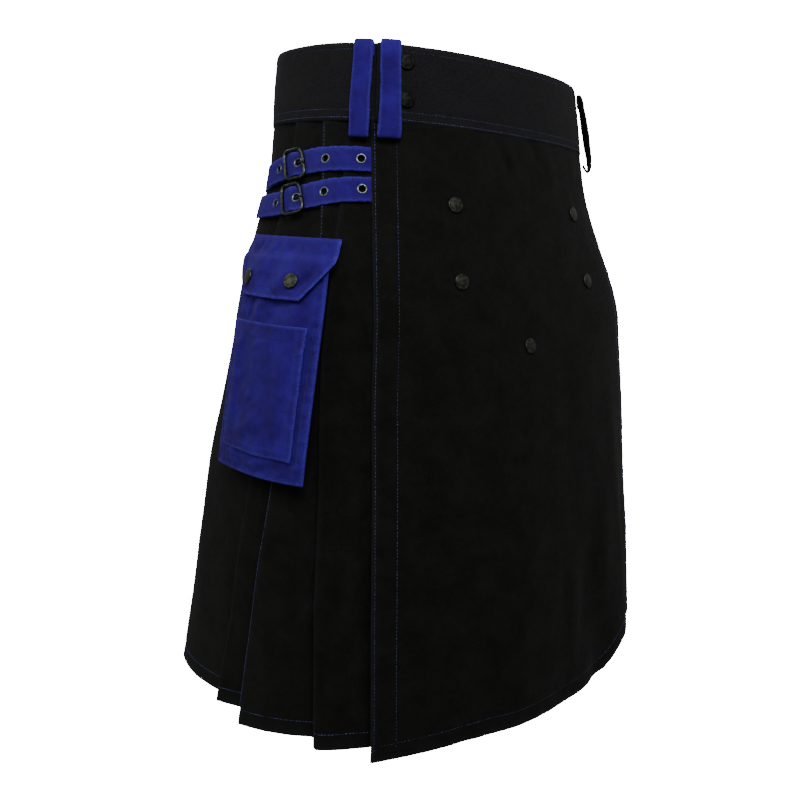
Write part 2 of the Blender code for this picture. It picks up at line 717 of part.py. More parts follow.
def flap_at(side, across, depth, lift):
    row_out = read([(row[0], row[2]) for row in FLAP_ROWS], depth)
    return pocket_place(side, across, depth, flap_out(across, row_out) + lift)


def make_pockets():
    for word, side in SIDES:
        make_pocket_bag("pocket_bag_" + word, side)
        make_pocket_patch("pocket_patch_" + word, side)
        make_pocket_flap("pocket_flap_" + word, side)
        for end, sign in (("front", -1), ("back", 1)):
            make_stud(f"stud_pocket_{end}_{word}", flap_at, side, sign * POCKET_STUD_ACROSS, POCKET_STUD_DEPTH)


# Press studs

def make_stud(name, cloth_at, side, distance, depth):
    """A low domed cap, standing square on the cloth that cloth_at gives the points of."""
    reach = STUD_RADIUS * 0.8
    middle = cloth_at(side, distance, depth, 0.0)
    along = cloth_at(side, distance + reach, depth, 0.0) - cloth_at(side, distance - reach, depth, 0.0)
    down = cloth_at(side, distance, depth + reach, 0.0) - cloth_at(side, distance, depth - reach, 0.0)
    normal = np.cross(along, down)
    normal /= np.linalg.norm(normal)
    if normal @ (cloth_at(side, distance, depth, reach) - middle) < 0:
        normal = -normal
    along /= np.linalg.norm(along)
    down = np.cross(normal, along)
    profile = ((0.96, 0.0), (1.0, 0.4), (0.72, 0.88))
    points = []
    for radius, height in profile:
        for corner in range(STUD_SIDES):
            angle = 2 * math.pi * corner / STUD_SIDES
            flat = along * math.cos(angle) + down * math.sin(angle)
            points.append(middle + flat * radius * STUD_RADIUS + normal * (STUD_SEAT + height * STUD_HEIGHT))
    points.append(middle + normal * (STUD_SEAT + STUD_HEIGHT))
    faces = [tuple(range(STUD_SIDES))]
    for ring in range(len(profile) - 1):
        for corner in range(STUD_SIDES):
            first = ring * STUD_SIDES + corner
            second = ring * STUD_SIDES + (corner + 1) % STUD_SIDES
            faces.append((first, second, second + STUD_SIDES, first + STUD_SIDES))
    crown = (len(profile) - 1) * STUD_SIDES
    for corner in range(STUD_SIDES):
        faces.append((crown + corner, crown + (corner + 1) % STUD_SIDES, len(points) - 1))
    solid(name, points, faces, "dark_metal")


def apron_at(side, distance, depth, lift):
    return place(side, distance, depth, APRON_OUT + lift)


def band_at(side, distance, depth, lift):
    return place(side, distance, depth, band_out(side * distance / half_girth(depth)) + lift)


def make_studs():
    for name, distance, depth in APRON_STUDS:
        make_stud(name, apron_at, math.copysign(1, distance), abs(distance), depth)
    for name, distance, depth in BAND_STUDS:
        make_stud(name, band_at, math.copysign(1, distance), abs(distance), depth)


for old in list(bpy.data.objects):
    bpy.data.objects.remove(old, do_unlink=True)

make_apron()
make_under_apron()
make_pleats()
make_waistband()
make_loops()
make_straps()
make_buckles()
make_pockets()
make_studs()
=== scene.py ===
"""The look of a worn utility kilt: black cotton drill with royal blue loops, straps and side pockets."""
import math

import bpy
import numpy as np
from mathutils import Matrix


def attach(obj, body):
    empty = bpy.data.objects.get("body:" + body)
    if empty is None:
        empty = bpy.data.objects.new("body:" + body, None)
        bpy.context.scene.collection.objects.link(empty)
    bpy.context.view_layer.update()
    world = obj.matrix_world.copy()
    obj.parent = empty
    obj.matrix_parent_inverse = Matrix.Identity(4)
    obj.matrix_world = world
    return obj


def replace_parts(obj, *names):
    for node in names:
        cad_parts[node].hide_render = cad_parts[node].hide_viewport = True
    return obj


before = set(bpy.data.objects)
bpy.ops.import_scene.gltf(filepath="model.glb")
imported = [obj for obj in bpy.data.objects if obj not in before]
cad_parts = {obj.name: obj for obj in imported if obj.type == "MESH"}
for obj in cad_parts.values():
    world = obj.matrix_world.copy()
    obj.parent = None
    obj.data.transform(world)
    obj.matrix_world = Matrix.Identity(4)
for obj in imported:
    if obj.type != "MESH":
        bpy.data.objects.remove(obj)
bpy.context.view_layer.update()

MM = 0.001
rng = np.random.default_rng(7)


# Camera and light. The camera is at the photo's viewing angle.

SENSOR_MM, LENS_MM = 36, 39.9
CAMERA_PLACE, CAMERA_AHEAD = (-0.64194, -0.72353, -0.16666), (0.63980, 0.75472, -0.14513)
CAMERA_ROLL = math.radians(1.687)
# name, place, what it points at, size, watts
SOFTBOXES = (
    ("key_softbox", (-0.80, -1.15, 0.95), (0, 0, -0.05), 0.9, 29),
    ("fill_softbox", (1.6, -1.0, 0.9), (0, 0, -0.1), 1.2, 3.5),
    ("side_softbox", (-1.6, 0.5, 0.8), (0, 0, -0.1), 1.0, 12),
    ("back_softbox", (0.7, 1.5, 0.9), (0, 0, -0.1), 1.2, 13),
)
# how bright the white studio is to the eye, and how much light it throws
BACKDROP, AMBIENT = 24.0, 0.37


def unit(v):
    return v / np.maximum(np.linalg.norm(v, axis=-1, keepdims=True), 1e-12)


def stand(name, data, right, up, back, place):
    """Puts a camera or a light into the studio, along the given axes."""
    thing = bpy.data.objects.new(name, data)
    axes = np.eye(4)
    axes[:3] = np.column_stack([right, up, back, place])
    thing.matrix_world = Matrix(axes.tolist())
    bpy.context.scene.collection.objects.link(thing)
    return thing


def set_camera():
    forward = unit(np.array(CAMERA_AHEAD))
    level = unit(np.cross(forward, (0, 0, 1)))
    upright = np.cross(level, forward)
    right = level * math.cos(CAMERA_ROLL) + upright * math.sin(CAMERA_ROLL)
    up = upright * math.cos(CAMERA_ROLL) - level * math.sin(CAMERA_ROLL)
    lens = bpy.data.cameras.new("camera")
    lens.sensor_width = SENSOR_MM
    lens.lens = LENS_MM
    bpy.context.scene.camera = stand("camera", lens, right, up, -forward, CAMERA_PLACE)


def add_softbox(name, place, target, size, watts):
    light = bpy.data.lights.new(name, "AREA")
    light.shape = "DISK"
    light.size = size
    light.energy = watts
    toward = unit(np.array(place, float) - np.array(target, float))
    side = unit(np.cross((0, 0, 1), toward))
    stand(name, light, side, np.cross(toward, side), toward, place)


def linear(hex_colour):
    """An sRGB hex colour as the linear RGBA that the shaders want."""
    parts = [int(hex_colour[at:at + 2], 16) / 255 for at in (0, 2, 4)]
    return (*[p / 12.92 if p <= 0.04045 else ((p + 0.055) / 1.055) ** 2.4 for p in parts], 1.0)


def add(tree, kind, settings=None, stops=(), **inputs):
    """Adds a node: settings are its properties, stops a ramp's places and colours, and inputs are values or
    another node's output sockets, by the socket's name or as in0, in1 by its number."""
    node = tree.nodes.new(kind)
    for key, value in (settings or {}).items():
        setattr(node, key, value)
    for element, (at, colour) in zip(node.color_ramp.elements if stops else (), stops):
        element.position = at
        element.color = linear(colour) if isinstance(colour, str) else (colour, colour, colour, 1)
    for key, value in inputs.items():
        numbered = key.startswith("in") and key[2:].isdigit()
        socket = node.inputs[int(key[2:]) if numbered else key.replace("_", " ")]
        if isinstance(value, bpy.types.NodeSocket):
            tree.links.new(value, socket)
        else:
            socket.default_value = value
    return node


def light_studio():
    """A white studio: the walls are lit far brighter than what hangs in front of them."""
    world = bpy.data.worlds.new("studio")
    world.use_nodes = True
    bpy.context.scene.world = world
    tree = world.node_tree
    seen = add(tree, "ShaderNodeLightPath").outputs["Is Camera Ray"]
    strength = add(tree, "ShaderNodeMapRange", Value=seen, in3=AMBIENT, in4=BACKDROP)
    tree.nodes["Background"].inputs["Color"].default_value = (1, 1, 1, 1)
    tree.links.new(strength.outputs[0], tree.nodes["Background"].inputs["Strength"])


set_camera()
for softbox in SOFTBOXES:
    add_softbox(*softbox)
light_studio()


# Materials

def blank(name):
    made = bpy.data.materials.new(name)
    made.use_nodes = True
    return made, made.node_tree, made.node_tree.nodes["Principled BSDF"]
# twill wales are 0.7 mm apart on the real cloth; 1.1 mm here, so that they show
TWILL_MM, TWILL_ANGLE = 1.1, math.radians(63)


def drill(name, deep, mid, worn, lint, bump_mm, roughness, sheen):
    """Cotton drill: a steep twill weave, piece dyed, so it is matt; its seams, edges and folds are painted
    paler, part wear and part painted highlight.
    """
    made, tree, shader = blank(name)
    uv = add(tree, "ShaderNodeUVMap", {"uv_map": "cloth_mm"}).outputs["UV"]
    turned_uv = add(tree, "ShaderNodeMapping", Vector=uv, Rotation=(0, 0, TWILL_ANGLE))
    wales = add(tree, "ShaderNodeTexWave", {"wave_type": "BANDS", "bands_direction": "X"},
                Vector=turned_uv.outputs[0], Scale=1 / TWILL_MM / math.pi * 1.57, Distortion=0.6, Detail=2.0)
    # thick places in the yarn about 2 mm long, and dye that took unevenly over 8 mm and over 30 mm
    slubs = add(tree, "ShaderNodeTexNoise", Vector=uv, Scale=0.55, Detail=3.0, Roughness=0.6)
    patches = add(tree, "ShaderNodeTexNoise", Vector=uv, Scale=0.035, Detail=4.0, Roughness=0.55)
    blotches = add(tree, "ShaderNodeTexNoise", Vector=uv, Scale=0.13, Detail=3.0, Roughness=0.6)
    shade = add(tree, "ShaderNodeMath", {"operation": "MULTIPLY_ADD"}, in0=blotches.outputs[0], in1=0.5,
                in2=patches.outputs[0])
    dyed = add(tree, "ShaderNodeValToRGB", stops=((0.58, deep), (0.92, mid)), Fac=shade.outputs[0])
    # seams, edges and folds are painted in the pale worn colour, part wear and part painted highlight, most
    # on the thick places of the yarn
    wear_and_highlight = add(tree, "ShaderNodeAttribute", {"attribute_name": "wear_and_highlight"}).outputs["Fac"]
    thick = add(tree, "ShaderNodeValToRGB", stops=((0.35, 0.15), (0.65, 1.0)), Fac=slubs.outputs[0])
    rough_wear_and_highlight = add(tree, "ShaderNodeMath", {"operation": "MULTIPLY"}, in0=wear_and_highlight, in1=thick.outputs[0])
    faded_and_highlit = add(tree, "ShaderNodeMix", {"data_type": "RGBA"}, in0=rough_wear_and_highlight.outputs[0], in6=dyed.outputs[0],
                in7=linear(worn))
    # specks of lint about 1 mm wide
    specks = add(tree, "ShaderNodeTexNoise", Vector=uv, Scale=0.9, Detail=1.0).outputs[0]
    specks = add(tree, "ShaderNodeValToRGB", stops=((0.70, 0.0), (0.78, 1.0)), Fac=specks).outputs[0]
    speck_part = add(tree, "ShaderNodeMath", {"operation": "MULTIPLY"}, in0=specks, in1=0.28).outputs[0]
    linted = add(tree, "ShaderNodeMix", {"data_type": "RGBA"}, in0=speck_part, in6=faded_and_highlit.outputs[2],
                 in7=linear(lint))
    tree.links.new(linted.outputs[2], shader.inputs["Base Color"])
    weave = add(tree, "ShaderNodeMath", {"operation": "MULTIPLY_ADD"}, in0=slubs.outputs[0], in1=1.2,
                in2=wales.outputs["Fac"]).outputs[0]
    rumple = add(tree, "ShaderNodeTexNoise", Vector=uv, Scale=0.09, Detail=2.0, Roughness=0.5)
    height = add(tree, "ShaderNodeMath", {"operation": "MULTIPLY_ADD"}, in0=rumple.outputs[0], in1=4.0,
                 in2=weave)
    relief = add(tree, "ShaderNodeBump", Height=height.outputs[0], Strength=0.7, Distance=bump_mm * MM)
    tree.links.new(relief.outputs["Normal"], shader.inputs["Normal"])
    shader.inputs["Roughness"].default_value = roughness
    shader.inputs["Specular IOR Level"].default_value = 0.07
    shader.inputs["Sheen Weight"].default_value = sheen
    shader.inputs["Sheen Roughness"].default_value = 0.5
    return made


# black drill has a faint grey bloom of lint; both drills are painted paler along seams, edges and folds, the
# blue most along its puckered seams: part wear, part painted highlight
CLOTHS = {
    "black_drill": drill("black_cotton_drill", "080907", "0f100e", "1f1e24", "3c4149", 0.34, 0.88, 0.02),
    "blue_drill": drill("blue_cotton_drill", "1d0658", "250d72", "3b2e96", "4d478c", 0.45, 0.86, 0.03),
}


def sewing_thread(name, colour):
    """Spun polyester thread: a fine twist with a slight gloss."""
    made, tree, shader = blank(name)
    uv = add(tree, "ShaderNodeUVMap", {"uv_map": "cloth_mm"}).outputs["UV"]
    # painted highlight and shade: the real twist is 0.5 mm long; this tone swings over 4 mm, so that some
    # stitches look lit and others sunk in shade
    twist = add(tree, "ShaderNodeTexNoise", Vector=uv, Scale=0.25, Detail=3.0)
    tone = add(tree, "ShaderNodeValToRGB", stops=((0.3, colour[0]), (0.7, colour[1])), Fac=twist.outputs[0])
    tree.links.new(tone.outputs[0], shader.inputs["Base Color"])
    shader.inputs["Roughness"].default_value = 0.6
    shader.inputs["Specular IOR Level"].default_value = 0.15
    return made


thread = sewing_thread("lilac_thread", ("181a34", "565c94"))
# painted shade: the blue thread is darker than the blue drill it sews, standing in for the shade in its
# stitch grooves
groove_shaded_blue_thread = sewing_thread("groove_shaded_blue_thread", ("14052f", "1f1258"))


def plated_metal(name, dark, light, roughness):
    """Brass or steel with a blackened plating: grey gloss, lighter and darker in small tarnish patches."""
    made, tree, shader = blank(name)
    spots = add(tree, "ShaderNodeTexCoord").outputs["Object"]
    # tarnish patches of 2 to 3 mm
    patches = add(tree, "ShaderNodeTexNoise", Vector=spots, Scale=380.0, Detail=3.0)
    tone = add(tree, "ShaderNodeValToRGB", stops=((0.35, dark), (0.75, light)), Fac=patches.outputs[0])
    tree.links.new(tone.outputs[0], shader.inputs["Base Color"])
    grain = add(tree, "ShaderNodeTexNoise", Vector=spots, Scale=900.0, Detail=2.0)
    shine = add(tree, "ShaderNodeMapRange", Value=grain.outputs[0], in3=roughness - 0.08,
                in4=roughness + 0.12)
    tree.links.new(shine.outputs[0], shader.inputs["Roughness"])
    relief = add(tree, "ShaderNodeBump", Height=patches.outputs[0], Strength=0.25, Distance=0.1 * MM)
    tree.links.new(relief.outputs["Normal"], shader.inputs["Normal"])
    shader.inputs["Metallic"].default_value = 1.0
    return made


stud_metal = plated_metal("gunmetal_stud_cap", "21231f", "464940", 0.46)
# painted shade: the waistband's studs take this darker copy of the stud metal, standing in for the shade they
# sit in
shaded_band_stud_metal = plated_metal("shaded_stud_cap", "0d0e0d", "20221f", 0.55)
buckle_metal = plated_metal("blackened_buckle_steel", "1c1e1d", "505452", 0.30)
eyelet_metal = plated_metal("nickel_eyelet", "2f3534", "7d8683", 0.34)


# The shape of the cloth. A place on it is given by its depth below the waistband's top, and by its distance
# from the centre front or its share of the half girth, both minus on the wearer's right.

TOP = 0.035
BAND_DEPTH = 0.069
GAP = 0.4 * MM
SQUARENESS = 2.38
BODY_MIDDLE = np.array([0, -0.01, 0])
# depth, half width, half depth, centre front to back
RINGS = np.array([
    (0.000, 0.1619, 0.1229, 0.0000), (0.070, 0.1709, 0.1253, -0.0057), (0.140, 0.1867, 0.1320, -0.0113),
    (0.240, 0.2135, 0.1430, -0.0194), (0.360, 0.2310, 0.1677, -0.0139), (0.480, 0.2436, 0.1904, -0.0084),
    (0.610, 0.2498, 0.2103, -0.0025),
])
LENGTH = 0.610
WAIST_SLOPE, HEM_SLOPE = (-0.0131, 0.0571), (0.0470, 0.0119)
# share of the half girth, depth, half width, half height, out
SWELLS = (
    (-0.62, 0.120, 0.17, 0.040, -0.0045), (-0.62, 0.630, 0.17, 0.090, 0.0065),
    (0.30, 0.110, 0.10, 0.030, -0.0025), (0.30, 0.215, 0.11, 0.050, 0.0060),
    (0.100, 0.620, 0.028, 0.170, -0.0075), (0.165, 0.620, 0.035, 0.150, 0.0050),
    (-0.060, 0.620, 0.060, 0.140, 0.0035), (0.34, 0.620, 0.050, 0.150, -0.0040),
    (0.30, 0.290, 0.11, 0.090, 0.0060),
)
# Creases pressed or dragged into the cloth, from one end to the other:
# distance from the centre front and depth of each end, half width, height (all in mm, right side minus)
CREASES = (
    # drag lines under the band and over the hip
    (-34, 72, -18, 104, 5, -1.1), (-20, 74, -6, 112, 7, 0.9), (12, 70, 30, 98, 5, -1.0),
    (36, 72, 48, 118, 7, 0.8), (-96, 78, -70, 122, 8, -0.9), (70, 76, 92, 130, 9, -1.0),
    (20, 96, 96, 84, 9, 1.3), (44, 118, 120, 96, 10, -1.4), (110, 90, 128, 124, 9, 1.4),
    # long soft breaks down the apron
    (-60, 250, -72, 470, 16, -1.5), (-20, 300, -24, 580, 18, 1.3), (34, 250, 52, 560, 16, -1.6),
    (-112, 330, -124, 560, 14, 1.5), (-140, 420, -152, 610, 10, -1.4), (20, 470, 14, 620, 13, -1.4),
    (118, 300, 140, 600, 14, 2.2), (150, 420, 160, 600, 10, -2.8), (-86, 500, -84, 620, 12, -1.6),
    # diagonal drags from the hip towards the hem
    (-130, 170, -60, 250, 10, -0.8), (96, 150, 40, 240, 12, -0.9), (120, 220, 60, 330, 14, 0.9),
    (96, 420, 70, 600, 16, 2.2), (60, 470, 38, 606, 13, -2.0), (-30, 420, -52, 600, 15, 1.6),
    # the panel behind the apron's edge sags and flutes
    (-196, 430, -226, 530, 9, 2.6), (-212, 440, -240, 560, 8, -2.4), (-246, 470, -268, 560, 9, 2.2),
    (-174, 190, -194, 450, 5, -3.2), (-196, 380, -206, 560, 7, 2.2), (-222, 470, -216, 610, 8, -2.2),
    (-206, 120, -200, 220, 8, 0.8),
    # the pleated sides and the back
    (-268, 420, -262, 560, 8, -2.0), (-296, 430, -300, 590, 8, 1.6), (-350, 420, -352, 600, 12, -2.0),
    (-420, 330, -430, 590, 16, 2.2), (-470, 300, -490, 590, 14, -2.2), (-540, 380, -560, 590, 16, 2.0),
    (-620, 320, -640, 590, 16, -2.2), (-690, 380, -700, 590, 14, 2.0),
    (214, 380, 222, 590, 9, 1.8), (262, 400, 268, 580, 9, -1.8), (300, 410, 310, 580, 9, 1.5),
    (356, 400, 360, 590, 12, -2.0), (430, 330, 440, 590, 16, 2.0), (500, 340, 516, 590, 15, -2.2),
    (580, 300, 596, 590, 16, 2.0), (660, 350, 676, 590, 15, -2.0),
    (-400, 80, -430, 150, 9, -1.0), (-330, 78, -350, 140, 8, 0.8), (380, 80, 410, 150, 9, -1.0),
    (-440, 74, -446, 130, 8, 0.8), (450, 78, 430, 140, 8, -0.9),
)

PHI = np.radians(np.linspace(-270, 90, 721))
DEPTHS = np.linspace(-0.01, 0.64, 66)
SHARE_STEPS = 1440


def superellipse(phi):
    c, s = np.cos(phi), np.sin(phi)
    radius = (np.abs(c) ** SQUARENESS + np.abs(s) ** SQUARENESS) ** (-1 / SQUARENESS)
    return radius * c, radius * s


def ring(depth):
    return [np.interp(depth, RINGS[:, 0], RINGS[:, column]) for column in (1, 2, 3)]


def girth_tables():
    """Half the girth at each depth, and the angle of every share of it."""
    halves, angles = [], []
    for depth in DEPTHS:
        half_width, half_depth, _ = ring(depth)
        c, s = superellipse(PHI)
        steps = np.hypot(np.diff(half_width * c), np.diff(half_depth * s))
        run = np.concatenate([[0], np.cumsum(steps)])
        halves.append(run[-1] / 2)
        angles.append(np.interp(np.linspace(-1, 1, SHARE_STEPS + 1), run * 2 / run[-1] - 1, PHI))
    return np.array(halves), np.array(angles)


HALVES, ANGLES = girth_tables()


def girth(depth):
    """Half the way round the skirt at a depth."""
    return np.interp(depth, DEPTHS, HALVES)


def dents(rows, across, down):
    """Height of the creases of a table at places given in metres."""
    total = 0.0
    for u0, v0, u1, v1, half_width, height in rows:
        length = math.hypot(u1 - u0, v1 - v0)
        ahead, aside = (u1 - u0) / length, (v1 - v0) / length
        u, v = across / MM - u0, down / MM - v0
        along = (u * ahead + v * aside) / length
        off = (v * ahead - u * aside) / half_width
        ends = np.exp(-np.clip(np.abs(along - 0.5) * 2 - 0.5, 0, None) ** 2 / 0.18)
        total = total + height * MM * np.exp(-off ** 2) * ends
    return total


def on_skin(share, depth, out=0.0):
    """Points of the cloth: share of the half girth (minus on the wearer's right), depth and out."""
    share, depth, out = np.broadcast_arrays(*[np.asarray(x, float) for x in (share, depth, out)])
    row = np.clip((depth - DEPTHS[0]) / (DEPTHS[1] - DEPTHS[0]), 0, len(DEPTHS) - 1.001)
    column = ((share + 1) % 2) / 2 * SHARE_STEPS
    r, c = row.astype(int), np.minimum(column.astype(int), SHARE_STEPS - 1)
    fr, fc = row - r, column - c
    phi = ((ANGLES[r, c] * (1 - fc) + ANGLES[r, c + 1] * fc) * (1 - fr)
           + (ANGLES[r + 1, c] * (1 - fc) + ANGLES[r + 1, c + 1] * fc) * fr)
    half_width, half_depth, centre = ring(depth)
    c, s = superellipse(phi)
    x, y = half_width * c, half_depth * s
    nx = np.sign(c) * np.abs(c) ** (SQUARENESS - 1) / half_width
    ny = np.sign(s) * np.abs(s) ** (SQUARENESS - 1) / half_depth
    length = np.hypot(nx, ny)
    down = depth / LENGTH
    waist_rise, hem_rise = [slope[0] * x + slope[1] * y for slope in (WAIST_SLOPE, HEM_SLOPE)]
    rise = (1 - down) * waist_rise + down * hem_rise
    wrapped = (share + 1) % 2 - 1
    reach = out + dents(CREASES, wrapped * girth(depth), depth)
    for at_share, at_depth, wide, high, amount in SWELLS:
        aside, below = (wrapped - at_share) / wide, (depth - at_depth) / high
        reach = reach + amount * np.exp(-aside ** 2 - below ** 2)
    return np.stack([x + reach * nx / length, y + centre + reach * ny / length, TOP - depth + rise], axis=-1)


def at_distance(side, distance, depth, out=0.0):
    return on_skin(side * distance / girth(depth), depth, out)


# How pieces are made

def finished(name, points, faces, material, uv=None, wear_and_highlight=None):
    mesh = bpy.data.meshes.new(name)
    mesh.from_pydata(np.asarray(points).tolist(), [], [list(map(int, face)) for face in faces])
    mesh.materials.append(material)
    if uv is not None:
        layer = mesh.uv_layers.new(name="cloth_mm")
        corner = np.empty(len(mesh.loops), int)
        mesh.loops.foreach_get("vertex_index", corner)
        layer.data.foreach_set("uv", (np.asarray(uv)[corner] / MM).astype(np.float32).ravel())
    if wear_and_highlight is not None:
        attribute = mesh.attributes.new("wear_and_highlight", "FLOAT", "POINT")
        attribute.data.foreach_set("value", np.asarray(wear_and_highlight, np.float32))
    mesh.shade_smooth()
    piece = bpy.data.objects.new(name, mesh)
    bpy.context.scene.collection.objects.link(piece)
    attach(piece, "root")
    return piece


def hole_walls(cut, index, count):
    """Faces between the outer and the inner face of a sheet, round the squares that are cut out."""
    walls = []
    for row, column in zip(*np.nonzero(cut)):
        square = [index[row + r, column + c] for r, c in ((0, 0), (0, 1), (1, 1), (1, 0))]
        beside = ((row - 1, column), (row, column + 1), (row + 1, column), (row, column - 1))
        for k, (r, c) in enumerate(beside):
            if not cut[r, c]:
                one, two = square[k], square[(k + 1) % 4]
                walls.append((two, one, one + count, two + count))
    return walls


def shell(name, surface, uv, wall, material, wear_and_highlight=None, cut=None):
    """A thin sheet of cloth with rounded edges, from a grid of points of its outer face."""
    rows, columns = surface.shape[:2]
    along, down = np.gradient(surface, axis=1), np.gradient(surface, axis=0)
    normal = unit(np.cross(along, down))
    sign = 1 if ((surface - BODY_MIDDLE)[..., :2] * normal[..., :2]).sum() > 0 else -1
    normal *= sign
    inner = surface - normal * wall
    index = np.arange(rows * columns).reshape(rows, columns)
    edge = np.concatenate([index[0, :-1], index[:-1, -1], index[-1, :0:-1], index[:0:-1, 0]])
    away = np.zeros_like(surface)
    away[0] -= unit(down[0])
    away[-1] += unit(down[-1])
    away[:, 0] -= unit(along[:, 0])
    away[:, -1] += unit(along[:, -1])
    # the edge bulges out a little, half way between the outer and the inner face
    roll = surface - normal * wall / 2 + unit(away) * np.minimum(wall, 2.5 * MM) * 0.45
    roll = roll.reshape(-1, 3)[edge]
    count = rows * columns
    points = np.concatenate([surface.reshape(-1, 3), inner.reshape(-1, 3), roll])
    a = index[:-1, :-1].ravel()
    quads = np.stack([a, a + 1, a + columns + 1, a + columns], axis=1)
    o, n = edge, np.roll(edge, -1)
    m = 2 * count + np.arange(len(edge))
    m_next = np.roll(m, -1)
    walls = []
    if cut is not None:
        quads = quads[~cut.ravel()]
        walls = hole_walls(cut, index, count)
    faces = np.concatenate([
        quads, quads[:, ::-1] + count,
        np.stack([n, o, m, m_next], axis=1), np.stack([m_next, m, o + count, n + count], axis=1),
        np.array(walls, int).reshape(-1, 4)[:, ::-1],
    ])
    if sign < 0:
        faces = faces[:, ::-1]
    flat_uv = uv.reshape(-1, 2)
    wear_and_highlight_map = (np.zeros((rows, columns)) if wear_and_highlight is None else wear_and_highlight).reshape(-1)
    # the rolled edges are painted paler still: part wear, part painted highlight
    return finished(name, points, faces, material, np.concatenate([flat_uv, flat_uv, flat_uv[edge]]),
                    np.concatenate([wear_and_highlight_map, wear_and_highlight_map, wear_and_highlight_map[edge] + 0.3]))


def make_cloth(node, surface, u, v, wall, colour, wear_and_highlight=None, cut=None, **cut_out):
    piece = shell(node + "_cloth", surface, np.stack([u, v], axis=2), wall, CLOTHS[colour], wear_and_highlight,
                  cut)
    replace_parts(piece, node)


def spread(first, last, step):
    return np.linspace(first, last, max(2, int(round(abs(last - first) / step)) + 1))


def wobble(x, seed, wave):
    """A smooth, uneven wave from -1 to 1."""
    phases = np.random.default_rng(seed).uniform(0, 2 * math.pi, 3)
    return (np.sin(x / wave * 2 * math.pi + phases[0]) + 0.6 * np.sin(x / wave * 3.7 + phases[1])
            + 0.5 * np.sin(x / wave * 10.3 + phases[2])) / 2.1


def near(distance, reach):
    """1 at a seam or an edge, fading to nothing beyond its reach."""
    return np.exp(-(distance / reach) ** 2)


def run_along(line):
    """The way along a line to each of its points."""
    return np.concatenate([[0], np.cumsum(np.linalg.norm(np.diff(line, axis=0), axis=1))])


# a stitch: a plump grain that dives into the cloth at both ends
STITCH_LONG, STITCH_PITCH, STITCH_WIDE, STITCH_HIGH = 2.4 * MM, 3.1 * MM, 0.52 * MM, 0.30 * MM
STITCH_FACES = ((0, 2, 1), (0, 3, 2), (0, 4, 3), (0, 1, 4), (9, 5, 6), (9, 6, 7), (9, 7, 8), (9, 8, 5),
                (1, 2, 6, 5), (2, 3, 7, 6), (3, 4, 8, 7), (4, 1, 5, 8))
STITCH_CORNERS = 10

class Seams:
    """Gathers rows of stitches into one piece of thread."""

    def __init__(self, name, material, slot):
        self.name, self.material, self.slot = name, material, slot
        self.points, self.faces = [], []

    def sew(self, at, path, pitch=STITCH_PITCH, wide=STITCH_WIDE):
        """Sews along path, whose points are (u, v) places of the cloth that at(u, v, lift) gives."""
        path = np.array(path, float)
        fine = np.linspace(0, len(path) - 1, max(60, 12 * len(path)))
        spots = np.stack([np.interp(fine, np.arange(len(path)), path[:, k]) for k in (0, 1)], axis=1)
        base = at(spots[:, 0], spots[:, 1], 0.0)
        run = run_along(base)
        count = int(run[-1] / pitch)
        if count < 1:
            return
        starts = np.arange(count) * pitch + rng.uniform(-0.12, 0.12, count) * pitch + 0.3 * pitch
        where = lambda s, lift: at(np.interp(s, run, spots[:, 0]), np.interp(s, run, spots[:, 1]), lift)
        long = STITCH_LONG * pitch / STITCH_PITCH
        first, last = where(starts, -0.1 * MM), where(starts + long, -0.1 * MM)
        one, two = where(starts + long * 0.22, 0.0), where(starts + long * 0.78, 0.0)
        up = unit(where(starts + long / 2, MM) - where(starts + long / 2, 0.0))
        side = np.cross(unit(two - one), up)
        rings = []
        for middle in (one, two):
            rings += [middle + side * wide / 2, middle + up * STITCH_HIGH, middle - side * wide / 2,
                      middle - up * 0.15 * MM]
        corners = np.stack([first, *rings, last], axis=1)
        offset = sum(len(p) for p in self.points)
        self.points.append(corners.reshape(-1, 3))
        for k in range(count):
            self.faces += [[offset + STITCH_CORNERS * k + corner for corner in face] for face in STITCH_FACES]

    def finish(self):
        points = np.concatenate(self.points)
        finished(self.name, points, self.faces, self.material, points[:, [0, 2]])


# Waistband

# share of the half girth and how far out the band is from the body
FRONT_BAND = ((-0.311, 0.0036), (-0.290, 0.0034), (-0.230, 0.0014), (0.330, 0.0014))
BACK_BAND = ((0.330, 0.0014), (0.400, 0.0008), (1.683, 0.0008), (1.735, -0.0017), (2.300, -0.0017))
FRONT_BAND_ENDS, BACK_BAND_ENDS = (-0.311, 0.330), (0.3308, 2.200)
BAND_TOP = 1.5 * MM
WAIST_HALF_GIRTH = 0.475
# its foot is sewn twice and its top once
BAND_STITCHES = (7.5 * MM, 60.0 * MM, 66.8 * MM)
# depth and how far the apron's edge is from the centre front
APRON_EDGE = ((0.000, 0.1480), (0.140, 0.1615), (0.310, 0.1800), (0.480, 0.1920), (0.620, 0.1980))

def table(rows, value):
    rows = np.array(rows)
    return np.interp(value, rows[:, 0], rows[:, 1])


def band_relief(share, depth):
    """The band's rolled top edge, its puckered seams and a little belt wear."""
    run = share * girth(depth)
    top, foot = depth - BAND_TOP, BAND_DEPTH - depth
    relief = -1.0 * MM * near(top, 1.6 * MM) + 0.25 * MM * wobble(run, 3, 0.011) * near(foot - 5 * MM, 5 * MM)
    relief += 0.25 * MM * wobble(run, 5, 0.013) * near(top - 5 * MM, 5 * MM)
    relief -= 0.35 * MM * near(foot - 9 * MM, 1.3 * MM) + 0.3 * MM * near(top - 6 * MM, 1.2 * MM)
    sag = 0.7 * MM * wobble(run + depth * 0.4, 11, 0.16)
    return relief + sag * np.sin(np.clip(depth / BAND_DEPTH, 0, 1) * math.pi)


def band_face(rows):
    """The outer face of a band by share, depth and lift."""
    def at(share, depth, lift=0.0):
        return on_skin(share, depth, table(rows, share) + band_relief(share, depth) + lift)
    return at


front_band_at, back_band_at = band_face(FRONT_BAND), band_face(BACK_BAND)


